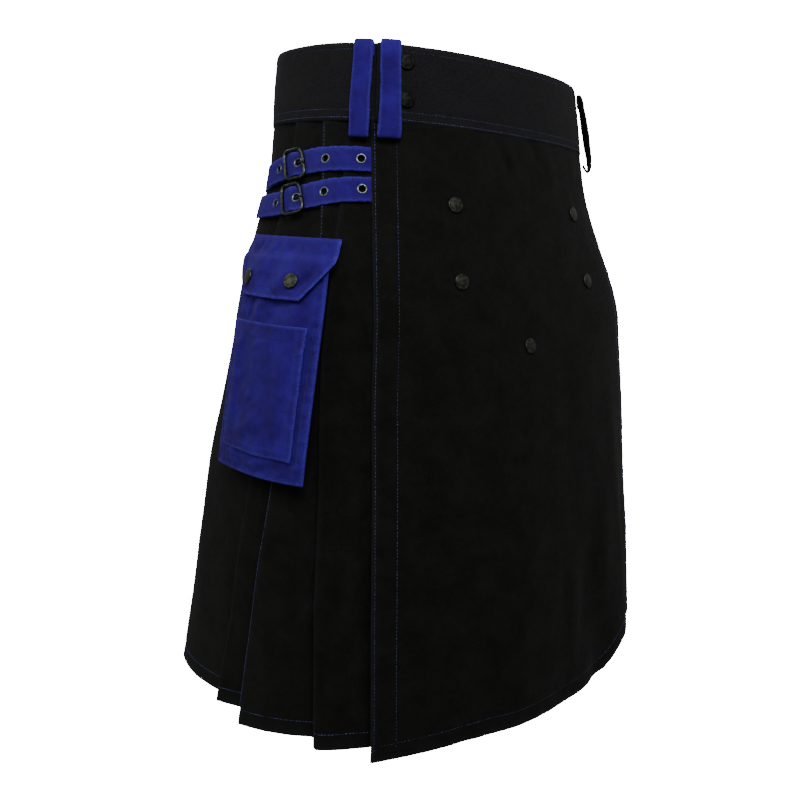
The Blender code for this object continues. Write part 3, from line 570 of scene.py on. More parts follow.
def make_band():
    depths = spread(BAND_TOP, BAND_DEPTH, 2.4 * MM)
    for node, at, ends, wall, flat_long in (
        ("waistband_front", front_band_at, FRONT_BAND_ENDS, 2.5 * MM, 0.31),
        ("waistband_back", back_band_at, BACK_BAND_ENDS, 2.3 * MM, 0.89),
    ):
        s, d = np.meshgrid(spread(*ends, 0.0052), depths)
        # partly painted light: the band is painted paler all over and palest along its top, where the light
        # from above falls; it is also paler along its foot and in slow patches, as wear
        wear_and_highlight_map = 0.62 + 0.40 * near(d - BAND_TOP, 2.5 * MM) + 0.25 * near(BAND_DEPTH - d, 3 * MM)
        wear_and_highlight_map = wear_and_highlight_map + 0.25 * wobble(s * WAIST_HALF_GIRTH, 17, 0.19) * np.cos(d / BAND_DEPTH * 2)
        # the inner facing is turned under at the foot, over the tops of the pleats
        walls = (wall + 2.2 * MM * np.clip((d - BAND_DEPTH) / (9 * MM) + 1, 0, 1))[..., None]
        make_cloth(node, at(s, d), s * WAIST_HALF_GIRTH, d, walls, "black_drill", wear_and_highlight_map,
                   flat=(flat_long, 0.068), held="stretched", rests_on=[node])
    sewn = Seams("stitching_waistband", thread, "black_drill")
    for depth in BAND_STITCHES:
        sewn.sew(front_band_at, [(s, depth) for s in spread(-0.307, 0.328, 0.01)])
        sewn.sew(back_band_at, [(s, depth) for s in spread(0.335, 1.684, 0.01)])
    sewn.sew(front_band_at, [(-0.305, d) for d in spread(8 * MM, 60 * MM, 4 * MM)])
    sewn.finish()


# Apron and under apron

# share of the half girth and the hem's depth
APRON_HEM = ((-0.270, 0.621), (-0.230, 0.616), (-0.150, 0.610), (0.000, 0.610), (0.100, 0.608),
             (0.120, 0.605), (0.145, 0.591), (0.165, 0.584), (0.200, 0.577), (0.270, 0.573))
APRON_OUT, APRON_WALL = 0.8 * MM, 1.4 * MM
# depth and how far the cloth beneath the apron lies in
SINK = ((0.070, 0.0031), (0.170, 0.0031), (0.393, 0.0055), (0.610, 0.0115))
UNDERLAP = 0.230
# how far the stitching is from an edge, from the apron's turned facing and from the hem
EDGE_STITCH, FACING_STITCH, HEM_STITCH = 2.6 * MM, 22 * MM, 14 * MM
SKIRT_LONG = 0.54


def apron_relief(distance, depth):
    edge = table(APRON_EDGE, depth) - np.abs(distance)
    hem = table(APRON_HEM, distance / girth(depth)) - depth
    relief = 0.30 * MM * wobble(depth, 21, 0.017) * near(edge - 3 * MM, 5 * MM)
    relief -= (0.30 * MM * near(edge - FACING_STITCH, 1.4 * MM)
               + 0.22 * MM * near(edge - EDGE_STITCH, 1.2 * MM))
    relief += 0.5 * MM * wobble(distance, 23, 0.023) * near(hem - 6 * MM, 8 * MM)
    relief -= 0.35 * MM * near(hem - HEM_STITCH, 1.5 * MM)
    return relief + 0.35 * MM * wobble(depth + 0.6 * distance, 29, 0.021) * near(depth - BAND_DEPTH, 8 * MM)


def apron_at(distance, depth, lift=0.0):
    return on_skin(distance / girth(depth), depth, APRON_OUT + apron_relief(distance, depth) + lift)


def skirt_depth(part, hem, share):
    """The depth of a part of the way from the band down to the hem."""
    top = BAND_DEPTH + GAP
    return top + part * (table(hem, share) - top)


def make_apron():
    c, p = np.meshgrid(spread(-1, 1, 0.0165), spread(0, 1, 0.0055))
    nominal = BAND_DEPTH + p * (LENGTH - BAND_DEPTH)
    distance = c * table(APRON_EDGE, nominal)
    depth = skirt_depth(p, APRON_HEM, distance / girth(nominal))
    # paler along its side edges and hem: part wear, part painted highlight
    wear_and_highlight_map = 0.6 * near((1 - np.abs(c)) * 0.18, 3 * MM) + 0.5 * near((1 - p) * SKIRT_LONG, 4 * MM)
    make_cloth("apron", apron_at(distance, depth), distance, depth, APRON_WALL, "black_drill", wear_and_highlight_map,
               flat=(0.400, 0.550), area=0.195, held="hung", rests_on=["waistband_front_cloth"])
    sewn = Seams("stitching_apron", thread, "black_drill")
    for side in (-1, 1):
        for inset in (EDGE_STITCH, FACING_STITCH):
            path = []
            for part in spread(0.002, 0.985, 0.01):
                depth = BAND_DEPTH + part * (LENGTH - BAND_DEPTH)
                place = side * (table(APRON_EDGE, depth) - inset)
                path.append((place, float(skirt_depth(part, APRON_HEM, place / girth(depth)))))
            sewn.sew(apron_at, path)
    hem = []
    for share in spread(-0.255, 0.255, 0.01):
        depth = float(table(APRON_HEM, share)) - HEM_STITCH
        hem.append((share * girth(depth), depth))
    sewn.sew(apron_at, hem)
    sewn.finish()


def make_under_apron():
    c, p = np.meshgrid(spread(-1, 1, 0.03), spread(0, 1, 0.012))
    nominal = BAND_DEPTH + GAP + p * (LENGTH - BAND_DEPTH)
    share = c * (UNDERLAP - GAP / girth(nominal))
    depth = skirt_depth(p, APRON_HEM, share) - 4 * MM * p
    make_cloth("under_apron", on_skin(share, depth, -table(SINK, nominal)), share * girth(depth), depth,
               APRON_WALL, "black_drill",
               flat=(0.345, 0.54), area=0.155, held="hung", rests_on=["waistband_back_cloth"])


# Pleats

PLEAT_DEPTHS = (0.070, 0.170, 0.270, 0.393, 0.610)
PLEATS = (
    # place at five depths as a share of the half girth, underlay at the band and at the hem, depth where its
    # edge stitching starts to show
    (0.364, 0.368, 0.370, 0.351, 0.336, 0.016, 0.034, None),
    (0.422, 0.398, 0.414, 0.429, 0.453, 0.014, 0.040, 0.071),
    (0.500, 0.508, 0.490, 0.473, 0.504, 0.018, 0.022, None),
    (0.630, 0.630, 0.634, 0.640, 0.645, 0.022, 0.042, 0.071),
    (0.755, 0.755, 0.758, 0.762, 0.765, 0.022, 0.042, 0.071),
    (0.880, 0.880, 0.882, 0.884, 0.885, 0.022, 0.042, 0.071),
)
PLEAT_WALL = 1.1 * MM
# depth and how thick a folded layer springs
SPRING = ((0.070, 0.0016), (0.170, 0.0018), (0.393, 0.0040), (0.610, 0.0080))
# share of the half girth and the hem's depth
PLEAT_HEM = (
    (-1.000, 0.602), (-0.560, 0.605), (-0.456, 0.605), (-0.451, 0.613), (-0.345, 0.609), (-0.330, 0.613),
    (-0.230, 0.611), (0.230, 0.573), (0.300, 0.573), (0.345, 0.575), (0.430, 0.580), (0.600, 0.592),
    (1.000, 0.602),
)
HEM_DEPTH = 0.589
# the fold before which the side panel is seamed to the back panel
SEAMED_PLEAT = 4
ARC = np.radians(np.linspace(0, 180, 7)[1:-1])


def folds_at(depth):
    """Where each pleat folds at a depth, and where its underlay begins."""
    half = girth(depth)
    down = (depth - PLEAT_DEPTHS[0]) / (PLEAT_DEPTHS[-1] - PLEAT_DEPTHS[0])
    folds = [float(np.interp(depth, PLEAT_DEPTHS, pleat[:5])) * half for pleat in PLEATS]
    starts = []
    for number, pleat in enumerate(PLEATS):
        room = folds[number] - (folds[number - 1] if number else UNDERLAP * half)
        starts.append(folds[number] - min(pleat[5] + down * (pleat[6] - pleat[5]), 0.75 * room))
    return folds, starts


def face_out(depth, number, distance):
    """How far out the top layer of the cloth before fold `number` is."""
    folds = folds_at(depth)[0]
    spring = table(SPRING, depth)
    if number == 0:
        start, end, low, high = table(APRON_EDGE, depth), folds[0], -table(SINK, depth), 0.0
    elif number == len(PLEATS):
        start, end, low, high = folds[-1], girth(depth), -2 * spring, -spring
    else:
        start, end, low, high = folds[number - 1], folds[number], -2 * spring, 0.0
    part = np.clip((distance - start) / (end - start), 0, 1)
    # the cloth crowns a little between folds
    belly = 0.0 if number == 0 else 0.6 * MM * np.sin(part * math.pi)
    return low + (high - low) * part + belly


def pleat_section(depth):
    """One side's cloth at a depth: its outer face as (distance, out, length of cloth), in two panels."""
    folds, starts = folds_at(depth)
    half = float(girth(depth))
    spring = float(table(SPRING, depth))
    turn = spring / 2
    line, panels = [], []

    def run(number, first, last, count, drop):
        for distance in np.linspace(first, last, count):
            line.append((distance, float(face_out(depth, number, distance)) - drop))

    edge = float(table(APRON_EDGE, depth))
    run(0, UNDERLAP * half + GAP / 2, edge, 4, 0.0)
    begin = edge
    for number, (fold, start) in enumerate(zip(folds, starts)):
        if number == SEAMED_PLEAT:
            seam = begin + 0.5 * (start + turn - begin)
            run(number, begin, seam - GAP / 2, 5, 0.0)
            panels.append(line)
            line = []
            run(number, seam + GAP / 2, fold - turn, 12, 0.0)
        else:
            line.pop()
            run(number, begin, fold - turn, 12, 0.0)
        level = float(face_out(depth, number, fold - turn))
        line += [(fold - turn + turn * math.sin(t), level - turn + turn * math.cos(t)) for t in ARC]
        run(number, fold - turn, start + turn, 6, spring)
        level = float(face_out(depth, number, start + turn)) - spring
        line += [(start + turn - turn * math.sin(t), level - turn + turn * math.cos(t)) for t in ARC]
        run(number, start + turn, fold - turn, 6, 2 * spring)
        line.append((fold, float(face_out(depth, number, fold)) - 2 * spring))
        begin = fold
    line.pop()
    run(len(PLEATS), begin, half, 14, 0.0)
    panels.append(line)
    made = []
    for panel in panels:
        panel = np.array(panel)
        length = np.concatenate([[0], np.cumsum(np.hypot(*np.diff(panel, axis=0).T))])
        made.append(np.column_stack([panel, length]))
    return made


def pleat_side(side, distance, out, length, parts, nominal):
    """The points of a panel on one side of the body, and the depth of each."""
    share = side * distance / girth(nominal)[:, None]
    depth = skirt_depth(parts[:, None], PLEAT_HEM, share)
    rise = (1 - parts[:, None]) * SKIRT_LONG
    hem = 0.5 * MM * wobble(length, 31 + side, 0.027) * near(rise - 6 * MM, 9 * MM)
    hem -= 0.35 * MM * near(rise - HEM_STITCH, 1.6 * MM)
    return on_skin(share, depth, out + hem), depth


def layer_at(side, number):
    """The top layer of cloth before fold `number`, by distance, depth and lift."""
    def at(distance, depth, lift=0.0):
        out = np.array([float(face_out(d, number, x)) for x, d in zip(distance, depth)])
        return at_distance(side, distance, depth, out + lift)
    return at


def make_pleats():
    parts = spread(0, 1, 0.0085)
    nominal = BAND_DEPTH + GAP + parts * (LENGTH - BAND_DEPTH)
    sections = [pleat_section(depth) for depth in nominal]
    places = np.array([folds_at(depth)[0] for depth in nominal])
    declared = {"held": "gathered", "rests_on": ["waistband_back_cloth"]}
    for panel in (0, 1):
        lines = np.array([section[panel] for section in sections])
        distance, out, length = lines[..., 0], lines[..., 1], lines[..., 2]
        (right, right_v), (left, left_v) = [
            pleat_side(side, distance, out, length, parts, nominal) for side in (-1, 1)]
        # paler along the hem and along each pleat's fold: part wear, part painted highlight
        wear_and_highlight_map = np.broadcast_to(0.5 * near((1 - parts[:, None]) * SKIRT_LONG, 4 * MM), distance.shape).copy()
        for fold in range(len(PLEATS)):
            wear_and_highlight_map += 0.45 * near(distance - places[:, fold:fold + 1], 2.5 * MM)
        if panel == 0:
            make_cloth("pleats_right", right, -length, right_v, PLEAT_WALL, "black_drill", wear_and_highlight_map,
                       flat=(0.66, 0.54), area=0.275, **declared)
            make_cloth("pleats_left", left, length, left_v, PLEAT_WALL, "black_drill", wear_and_highlight_map,
                       flat=(0.66, 0.54), area=0.250, **declared)
        else:
            # the two halves of the back meet at the centre back
            far = length[:, -1:]
            u = np.concatenate([-length, -far - (far - length[:, -2::-1])], axis=1)
            surface, v, wear_and_highlight_map = [np.concatenate([one, two[:, -2::-1]], axis=1)
                               for one, two in ((right, left), (right_v, left_v), (wear_and_highlight_map, wear_and_highlight_map))]
            make_cloth("pleats_back", surface, u, v, PLEAT_WALL, "black_drill", wear_and_highlight_map,
                       flat=(0.80, 0.54), area=0.365, **declared)
    sewn = Seams("stitching_pleats", thread, "black_drill")
    for side in (-1, 1):
        for number, pleat in enumerate(PLEATS):
            if pleat[7] is None:
                continue
            depths = spread(pleat[7], LENGTH - HEM_STITCH, 12 * MM)
            sewn.sew(layer_at(side, number), [(folds_at(d)[0][number] - 2.4 * MM, d) for d in depths])
        folds = folds_at(HEM_DEPTH)[0]
        for number in range(len(PLEATS) + 1):
            first = table(APRON_EDGE, HEM_DEPTH) if number == 0 else folds[number - 1]
            last = girth(HEM_DEPTH) if number == len(PLEATS) else folds[number]
            path = []
            for part in np.linspace(0.03, 0.97, 12):
                distance = first + part * (last - first)
                share = side * distance / girth(HEM_DEPTH)
                path.append((distance, float(table(PLEAT_HEM, share)) - HEM_STITCH))
            sewn.sew(layer_at(side, number), path)
    sewn.finish()


# Belt loops

LOOPS = (
    # name, share of the half girth, colour, how much wider its foot is sewn, lean in metres, how it hangs
    ("loop_front_overlap", -0.340, "blue_drill", -0.02, 0.0036, "taut"),
    ("loop_front_right", -0.287, "blue_drill", 0.14, 0.0008, "taut"),
    ("loop_front_left", 0.288, "black_drill", 0.04, 0.0, "slack"),
    ("loop_back_left", 0.740, "black_drill", 0.03, -0.0012, "taut"),
    ("loop_back_centre", 1.000, "black_drill", 0.05, 0.0010, "taut"),
    ("loop_back_right", -0.740, "black_drill", 0.02, 0.0014, "taut"),
)
LOOP_WIDTH, LOOP_WALL = 16.6 * MM, 2.0 * MM
# out from the band and depth, from its sewn top over to its sewn foot
LOOP_PROFILES = {
    "taut": (
        (0.0015, 0.0130), (0.0015, 0.0030), (0.0025, 0.0000), (0.0043, -0.0002), (0.0055, 0.0030),
        (0.0058, 0.0200), (0.0066, 0.0600), (0.0060, 0.0770), (0.0040, 0.0838), (0.0021, 0.0832),
        (0.0015, 0.0765)),
    "slack": (
        (0.0015, 0.0190), (0.0015, 0.0110), (0.0024, 0.0080), (0.0040, 0.0078), (0.0052, 0.0110),
        (0.0064, 0.0300), (0.0080, 0.0560), (0.0092, 0.0740), (0.0080, 0.0850), (0.0046, 0.0885),
        (0.0015, 0.0810)),
}


def rounded(points, step, times=3):
    """A line with its corners rounded off, in even steps."""
    line = np.array(points, float)
    for _ in range(times):
        low, high = line[:-1] * 0.75 + line[1:] * 0.25, line[:-1] * 0.25 + line[1:] * 0.75
        middle = np.stack([low, high], axis=1).reshape(-1, line.shape[1])
        line = np.vstack([line[:1], middle[1:-1], line[-1:]])
    run = run_along(line)
    even = spread(0, run[-1], step)
    return np.column_stack([even, *[np.interp(even, run, column) for column in line.T]])


def band_out(share):
    if FRONT_BAND_ENDS[0] <= share <= FRONT_BAND_ENDS[1]:
        return float(table(FRONT_BAND, share))
    return float(table(BACK_BAND, share if share > 0 else share + 2.0))


def loop_surface(middle, seed, flare, lean, hang):
    """Outer face of a loop by its place across and the run along it, and its middle line."""
    line = rounded(LOOP_PROFILES[hang], 1.6 * MM)
    left = np.gradient(line[:, 1:], axis=0)
    left = unit(np.stack([left[:, 1], -left[:, 0]], axis=1))

    def at(across, run, lift=0.0):
        out, depth, left_out, left_depth = [np.interp(run, line[:, 0], c) for c in (*line[:, 1:].T, *left.T)]
        wide = 1 + flare * np.exp(-((run - 0.092) / 0.012) ** 2) + 0.02 * wobble(run, seed, 0.031)
        ends = np.abs(across) / (LOOP_WIDTH / 2)
        relief = 0.25 * MM * wobble(run, seed + 1, 0.019) - 0.8 * MM * ends ** 6
        relief = relief + 0.35 * MM * near(ends - 0.80, 0.16) * (0.5 + 0.5 * wobble(run, seed + 2, 0.008))
        reach = LOOP_WALL / 2 + relief + lift
        sideways = lean * (0.62 - run / line[-1, 0])
        share = middle + (across * wide + sideways) / girth(0.0345) + 0.0016 * wobble(run, seed + 3, 0.08)
        if hang == "slack":
            reach = reach - 0.34 * across * np.sin(np.clip(run / line[-1, 0], 0, 1) * math.pi)
        return on_skin(share, depth + left_depth * reach, band_out(middle) + out + left_out * reach)
    return at, line


def make_loops():
    sewn = {"blue_drill": Seams("stitching_blue_loops", groove_shaded_blue_thread, "blue_drill"),
            "black_drill": Seams("stitching_black_loops", thread, "black_drill")}
    for number, (node, middle, colour, flare, lean, hang) in enumerate(LOOPS):
        at, line = loop_surface(middle, 50 + 5 * number, flare, lean, hang)
        across, run = np.meshgrid(spread(-LOOP_WIDTH / 2, LOOP_WIDTH / 2, 1.15 * MM), line[:, 0])
        # paler along the loop's edges and near its sewn top: part wear, part painted highlight
        wear_and_highlight_map = 0.9 * near(np.abs(across) - LOOP_WIDTH / 2, 1.6 * MM) + 0.25 * near(run - 0.018, 0.006)
        band = "waistband_back_cloth" if abs(middle) > 0.33 else "waistband_front_cloth"
        make_cloth(node, at(across, run), across, run + 0.2 * number, LOOP_WALL, colour, wear_and_highlight_map,
                   flat=(0.0166, 0.113), held="folded", rests_on=[band])
        for side in (-1, 1):
            inset = side * (LOOP_WIDTH / 2 - 2.3 * MM)
            runs = spread(0.014, line[-1, 0] - 0.012, 4 * MM)
            sewn[colour].sew(at, [(inset, r) for r in runs], 2.7 * MM, 0.45 * MM)
        # bar tack at its foot
        foot = line[-1, 0] - 16 * MM
        sewn[colour].sew(at, [(a, foot) for a in spread(-0.0065, 0.0065, 1 * MM)], 2.2 * MM, 0.5 * MM)
    for seams in sewn.values():
        seams.finish()


# Straps, buckles and eyelets

STRAP_WIDTH, STRAP_WALL, CHAPE_WALL = 20.6 * MM, 1.3 * MM, 1.2 * MM
STRAP_STITCH = 7.9 * MM
# distance from the centre front and depth
STRAP_ROUTES = {
    "upper": ((0.144, 0.1024), (0.190, 0.1027), (0.210, 0.1042), (0.264, 0.1122), (0.296, 0.1188),
              (0.325, 0.1230)),
    "lower": ((0.147, 0.1276), (0.190, 0.1298), (0.210, 0.1335), (0.266, 0.1440), (0.296, 0.1462),
              (0.325, 0.1475)),
}
STRAP_END = {"upper": 0.296, "lower": 0.322}
# how far out the strap runs beneath the apron, on it, over the buckle's bar and behind it
UNDER, ON, OVER_BAR, TAIL, CHAPE_ON = -1.9 * MM, 1.7 * MM, 5.7 * MM, 3.5 * MM, 1.1 * MM
BUCKLE_AT = {"upper": 0.2390, "lower": 0.2425}
BUCKLE_LONG, BUCKLE_HIGH, BUCKLE_CORNER, WIRE = 13.1 * MM, 12.75 * MM, 6.3 * MM, 1.55 * MM
FRONT_BAR_OUT, BACK_BAR_OUT, CENTRE_BAR_OUT = 4.4 * MM, 6.2 * MM, 3.4 * MM
EYELETS = {"upper": (0.1671, 0.2012), "lower": (0.1690, 0.2046)}
EYELET_HOLE = 3.1 * MM
PRONG_EYELET, TAIL_EYELET = -6.4 * MM, 27.5 * MM


def strap_surface(side, stops, width, wall, seed):
    """Outer face of a strap by its run along and its place across."""
    line = rounded(stops, 1.3 * MM, 2)
    heading = unit(np.gradient(line[:, 1:3], axis=0))

    def at(across, run, lift=0.0):
        distance, depth, out, ahead, aside = [
            np.interp(run, line[:, 0], column) for column in (*line[:, 1:].T, *heading.T)]
        ends = np.abs(across) / (width / 2)
        across = across + np.sign(across) * ends ** 4 * 0.35 * MM * wobble(run, seed, 0.012)
        relief = -0.45 * MM * ends ** 6 + 0.18 * MM * wobble(run, seed + 1, 0.009) * near(ends - 0.85, 0.2)
        relief = relief + 0.30 * MM * wobble(run, seed + 2, 0.034) * (1 - ends ** 2)
        relief = relief - 0.18 * MM * near(ends - 0.76, 0.05)
        return at_distance(side, distance - aside * across, depth + ahead * across,
                           out + wall / 2 + relief + lift)
    return at, line


def tube(name, path, radius, material, closed=False, sides=12):
    """A round wire along a path; radius may be a list."""
    path = np.asarray(path)
    count = len(path)
    ahead = unit(np.roll(path, -1, 0) - np.roll(path, 1, 0) if closed else np.gradient(path, axis=0))
    middle = path.mean(axis=0) - BODY_MIDDLE
    away = np.array([middle[0], middle[1], 0]) / np.hypot(middle[0], middle[1])
    side = unit(np.cross(ahead, away))
    up = np.cross(side, ahead)
    radius = np.broadcast_to(radius, count)[:, None, None]
    angle = np.linspace(0, 2 * math.pi, sides, endpoint=False)[None, :, None]
    rings = path[:, None] + radius * (np.cos(angle) * side[:, None] + np.sin(angle) * up[:, None])
    faces = []
    for ring_at in range(count if closed else count - 1):
        for corner in range(sides):
            one, two, after = ring_at * sides, (ring_at + 1) % count * sides, (corner + 1) % sides
            faces.append((one + corner, one + after, two + after, two + corner))
    if not closed:
        faces += [tuple(range(sides))[::-1], tuple(range((count - 1) * sides, count * sides))]
    return finished(name, rings.reshape(-1, 3), faces, material)


def turned(profile, middle, along, down, normal, segments=40):
    """Points and faces of a shape turned about the normal; profile is (radius, height), outside first."""
    angle = np.linspace(0, 2 * math.pi, segments, endpoint=False)[None, :, None]
    radius, height = [np.array(column)[:, None, None] for column in zip(*profile)]
    rings = middle + radius * (np.cos(angle) * along + np.sin(angle) * down) + height * normal
    faces = []
    for ring_at in range(len(profile) - 1):
        for corner in range(segments):
            one, two, after = ring_at * segments, (ring_at + 1) * segments, (corner + 1) % segments
            faces.append((one + corner, one + after, two + after, two + corner))
    return rings.reshape(-1, 3), faces


def seat(at, u, v, reach):
    """The middle of a place on cloth, and the directions along, down and away from it."""
    corners = at(np.array([u, u + reach, u - reach, u, u, u]), np.array([v, v, v, v + reach, v - reach, v]),
                 np.array([0, 0, 0, 0, 0, reach]))
    along, down = corners[1] - corners[2], corners[3] - corners[4]
    normal = unit(np.cross(along, down))
    if normal @ (corners[5] - corners[0]) < 0:
        normal = -normal
    along = unit(along)
    return corners[0], along, np.cross(normal, along), normal


# rolled nickel rim: radius and height, from its outer edge over the rim and down through the strap
EYELET_PROFILE = [(r * MM, h * MM) for r, h in (
    (4.45, -0.15), (4.50, 0.15), (4.35, 0.42), (4.00, 0.60), (3.55, 0.58), (3.20, 0.36), (3.00, -0.10),
    (2.95, -1.4), (3.05, -1.7), (3.70, -1.75))]
SIDES = (("right", -1), ("left", 1))


def routed(route, stops):
    """Stops of (distance, out) with the depth of the route at each."""
    return [(distance, float(table(route, distance)), out) for distance, out in stops]


def make_strap(side, word, level, seed, sewn, rims):
    route, bar = STRAP_ROUTES[level], BUCKLE_AT[level]
    edge = float(table(APRON_EDGE, route[0][1]))
    stops = [(edge - 0.012, UNDER), (edge + 0.0005, UNDER), (edge + 0.0095, ON), (0.180, ON), (0.194, ON),
             (0.208, ON), (bar - 0.0190, ON), (bar - 0.0108, ON), (bar - 0.0030, OVER_BAR),
             (bar, OVER_BAR + 0.2 * MM), (bar + 0.0030, OVER_BAR), (bar + 0.0100, TAIL), (bar + 0.0190, TAIL)]
    stops += [(stop, TAIL) for stop in spread(bar + 0.0190, STRAP_END[level], 13 * MM)[1:]]
    at, line = strap_surface(side, routed(route, stops), STRAP_WIDTH, STRAP_WALL, seed)
    across, run = np.meshgrid(spread(-STRAP_WIDTH / 2, STRAP_WIDTH / 2, 1.0 * MM), line[:, 0])
    holes = [*EYELETS[level], bar + PRONG_EYELET]
    if bar + TAIL_EYELET < STRAP_END[level]:
        holes.append(bar + TAIL_EYELET)
    centre_u = (across[:-1, :-1] + across[1:, 1:]) / 2
    centre_v = (run[:-1, :-1] + run[1:, 1:]) / 2
    cut = np.zeros(centre_u.shape, bool)
    for distance in holes:
        place = float(np.interp(distance, line[:, 1], line[:, 0]))
        cut |= np.hypot(centre_u, centre_v - place) < EYELET_HOLE
        rims.append(turned(EYELET_PROFILE, *seat(at, 0.0, place, 3 * MM)))
    # paler along its edges and its stitch lines: part wear, part painted highlight
    wear_and_highlight_map = (0.95 * near(np.abs(across) - STRAP_WIDTH / 2, 1.5 * MM)
           + 0.35 * near(np.abs(across) - STRAP_STITCH, 1 * MM))
    make_cloth(f"strap_{level}_{word}", at(across, run), across, run + 0.3 * side, STRAP_WALL, "blue_drill",
               wear_and_highlight_map, cut, flat=(round(line[-1, 0], 3), 0.0206), held="stretched",
               rests_on=["apron_cloth", f"buckle_{level}_{word}_frame"])
    for edge_side in (-1, 1):
        runs = spread(0.016, line[-1, 0] - 0.004, 4 * MM)
        sewn.sew(at, [(edge_side * STRAP_STITCH, r) for r in runs], 2.9 * MM)


def make_chape(side, word, level, seed):
    """The short strap that holds the buckle."""
    stops = [(stop, CHAPE_ON) for stop in spread(BUCKLE_AT[level] - 0.0035, 0.320, 11 * MM)]
    at, line = strap_surface(side, routed(STRAP_ROUTES[level], stops), STRAP_WIDTH, CHAPE_WALL, seed + 3)
    across, run = np.meshgrid(spread(-STRAP_WIDTH / 2, STRAP_WIDTH / 2, 1.5 * MM), line[:, 0])
    # paler along its edges: part wear, part painted highlight
    make_cloth(f"chape_{level}_{word}", at(across, run), across, run, CHAPE_WALL, "blue_drill",
               0.8 * near(np.abs(across) - STRAP_WIDTH / 2, 1.5 * MM),
               flat=(round(line[-1, 0], 3), 0.0206), held="stretched", rests_on=[f"pleats_{word}_cloth"])


def make_buckle(side, word, level):
    """A centre-bar buckle: its frame, its bar and its prong."""
    route, bar = STRAP_ROUTES[level], BUCKLE_AT[level]
    middle = float(table(route, bar))
    tilt = math.atan2(float(table(route, bar + 0.0145)) - middle, 0.0145)

    def at(across, down, out):
        across, down, out = [np.asarray(x, float) for x in (across, down, out)]
        return at_distance(side, bar + across * math.cos(tilt) - down * math.sin(tilt),
                           middle + across * math.sin(tilt) + down * math.cos(tilt), out)

    rim = []
    for quarter, (sx, sy) in enumerate(((1, 1), (-1, 1), (-1, -1), (1, -1))):
        for t in np.linspace(0, math.pi / 2, 7):
            angle = t + quarter * math.pi / 2
            rim.append((sx * (BUCKLE_LONG - BUCKLE_CORNER) + BUCKLE_CORNER * math.cos(angle),
                        sy * (BUCKLE_HIGH - BUCKLE_CORNER) + BUCKLE_CORNER * math.sin(angle)))
    rim = np.array(rim)
    part = (rim[:, 0] + BUCKLE_LONG) / (2 * BUCKLE_LONG)
    rise = FRONT_BAR_OUT + part * (BACK_BAR_OUT - FRONT_BAR_OUT)
    # the frame is cast a little thinner at its rails than at its bars
    radius = WIRE * (0.86 + 0.16 * np.abs(rim[:, 0]) / BUCKLE_LONG)
    node = f"buckle_{level}_{word}"
    frame_piece = tube(node + "_frame", at(rim[:, 0], rim[:, 1], rise), radius, buckle_metal,
                       closed=True, sides=14)
    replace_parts(frame_piece, node)
    high = (FRONT_BAR_OUT + BACK_BAR_OUT) / 2
    rod = rounded([(-BUCKLE_HIGH, high), (-BUCKLE_HIGH + 2.2 * MM, CENTRE_BAR_OUT), (0, CENTRE_BAR_OUT),
                   (BUCKLE_HIGH - 2.2 * MM, CENTRE_BAR_OUT), (BUCKLE_HIGH, high)], 1.5 * MM)
    tube(node + "_centre_bar", at(0 * rod[:, 1], rod[:, 1], rod[:, 2]), 1.1 * MM, buckle_metal)
    pin = rounded([(-0.0012, 0.0042), (-0.0060, 0.0044), (-0.0085, 0.0060), (-0.0120, 0.0070),
                   (-0.0166, 0.0068)], 0.8 * MM)
    prong = tube(f"prong_{level}_{word}_pin", at(pin[:, 1], 0 * pin[:, 1], pin[:, 2]),
                 np.linspace(1.05, 0.70, len(pin)) * MM, buckle_metal)
    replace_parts(prong, f"prong_{level}_{word}")


def make_straps():
    rims = []
    sewn = Seams("stitching_straps", groove_shaded_blue_thread, "blue_drill")
    for word, side in SIDES:
        for level in STRAP_ROUTES:
            seed = 80 + 10 * side + (level == "upper") * 5
            make_strap(side, word, level, seed, sewn, rims)
            make_chape(side, word, level, seed)
            make_buckle(side, word, level)
    sewn.finish()
    faces = [[number * len(points) + corner for corner in face]
             for number, (points, rim_faces) in enumerate(rims) for face in rim_faces]
    points = np.concatenate([points for points, _ in rims])
    finished("strap_eyelets", points, faces, eyelet_metal)


# Side pockets

POCKET_SHARES, POCKET_HALF, POCKET_TUCK = {-1: 0.364, 1: 0.385}, 58 * MM, 9.5 * MM
# depth and how far out the pocket stands
POCKET_OUT = ((0.197, 0.0088), (0.249, 0.0102), (0.381, 0.0115))
POCKET_TOP, POCKET_FOOT = 0.197, 0.381
PATCH_TOP, PATCH_FOOT, PATCH_HALF = 0.249, 0.361, 46 * MM
FLAP_TOP, FLAP_FOOT, FLAP_HALF = 0.173, 0.226, 0.0625
LEAN, CROWN = 0.25, 2.0 * MM
POCKET_WALL, PATCH_WALL, FLAP_WALL = 1.3 * MM, 1.2 * MM, 1.4 * MM
FLAP_ROWS = (
    # depth, half width, out
    (0.1730, 0.0625, 0.0020), (0.1800, 0.0625, 0.0036), (0.1875, 0.0625, 0.0064),
    (0.1940, 0.0620, 0.0106), (0.2045, 0.0545, 0.0130), (0.2150, 0.0465, 0.0140), (0.2260, 0.0375, 0.0144),
)
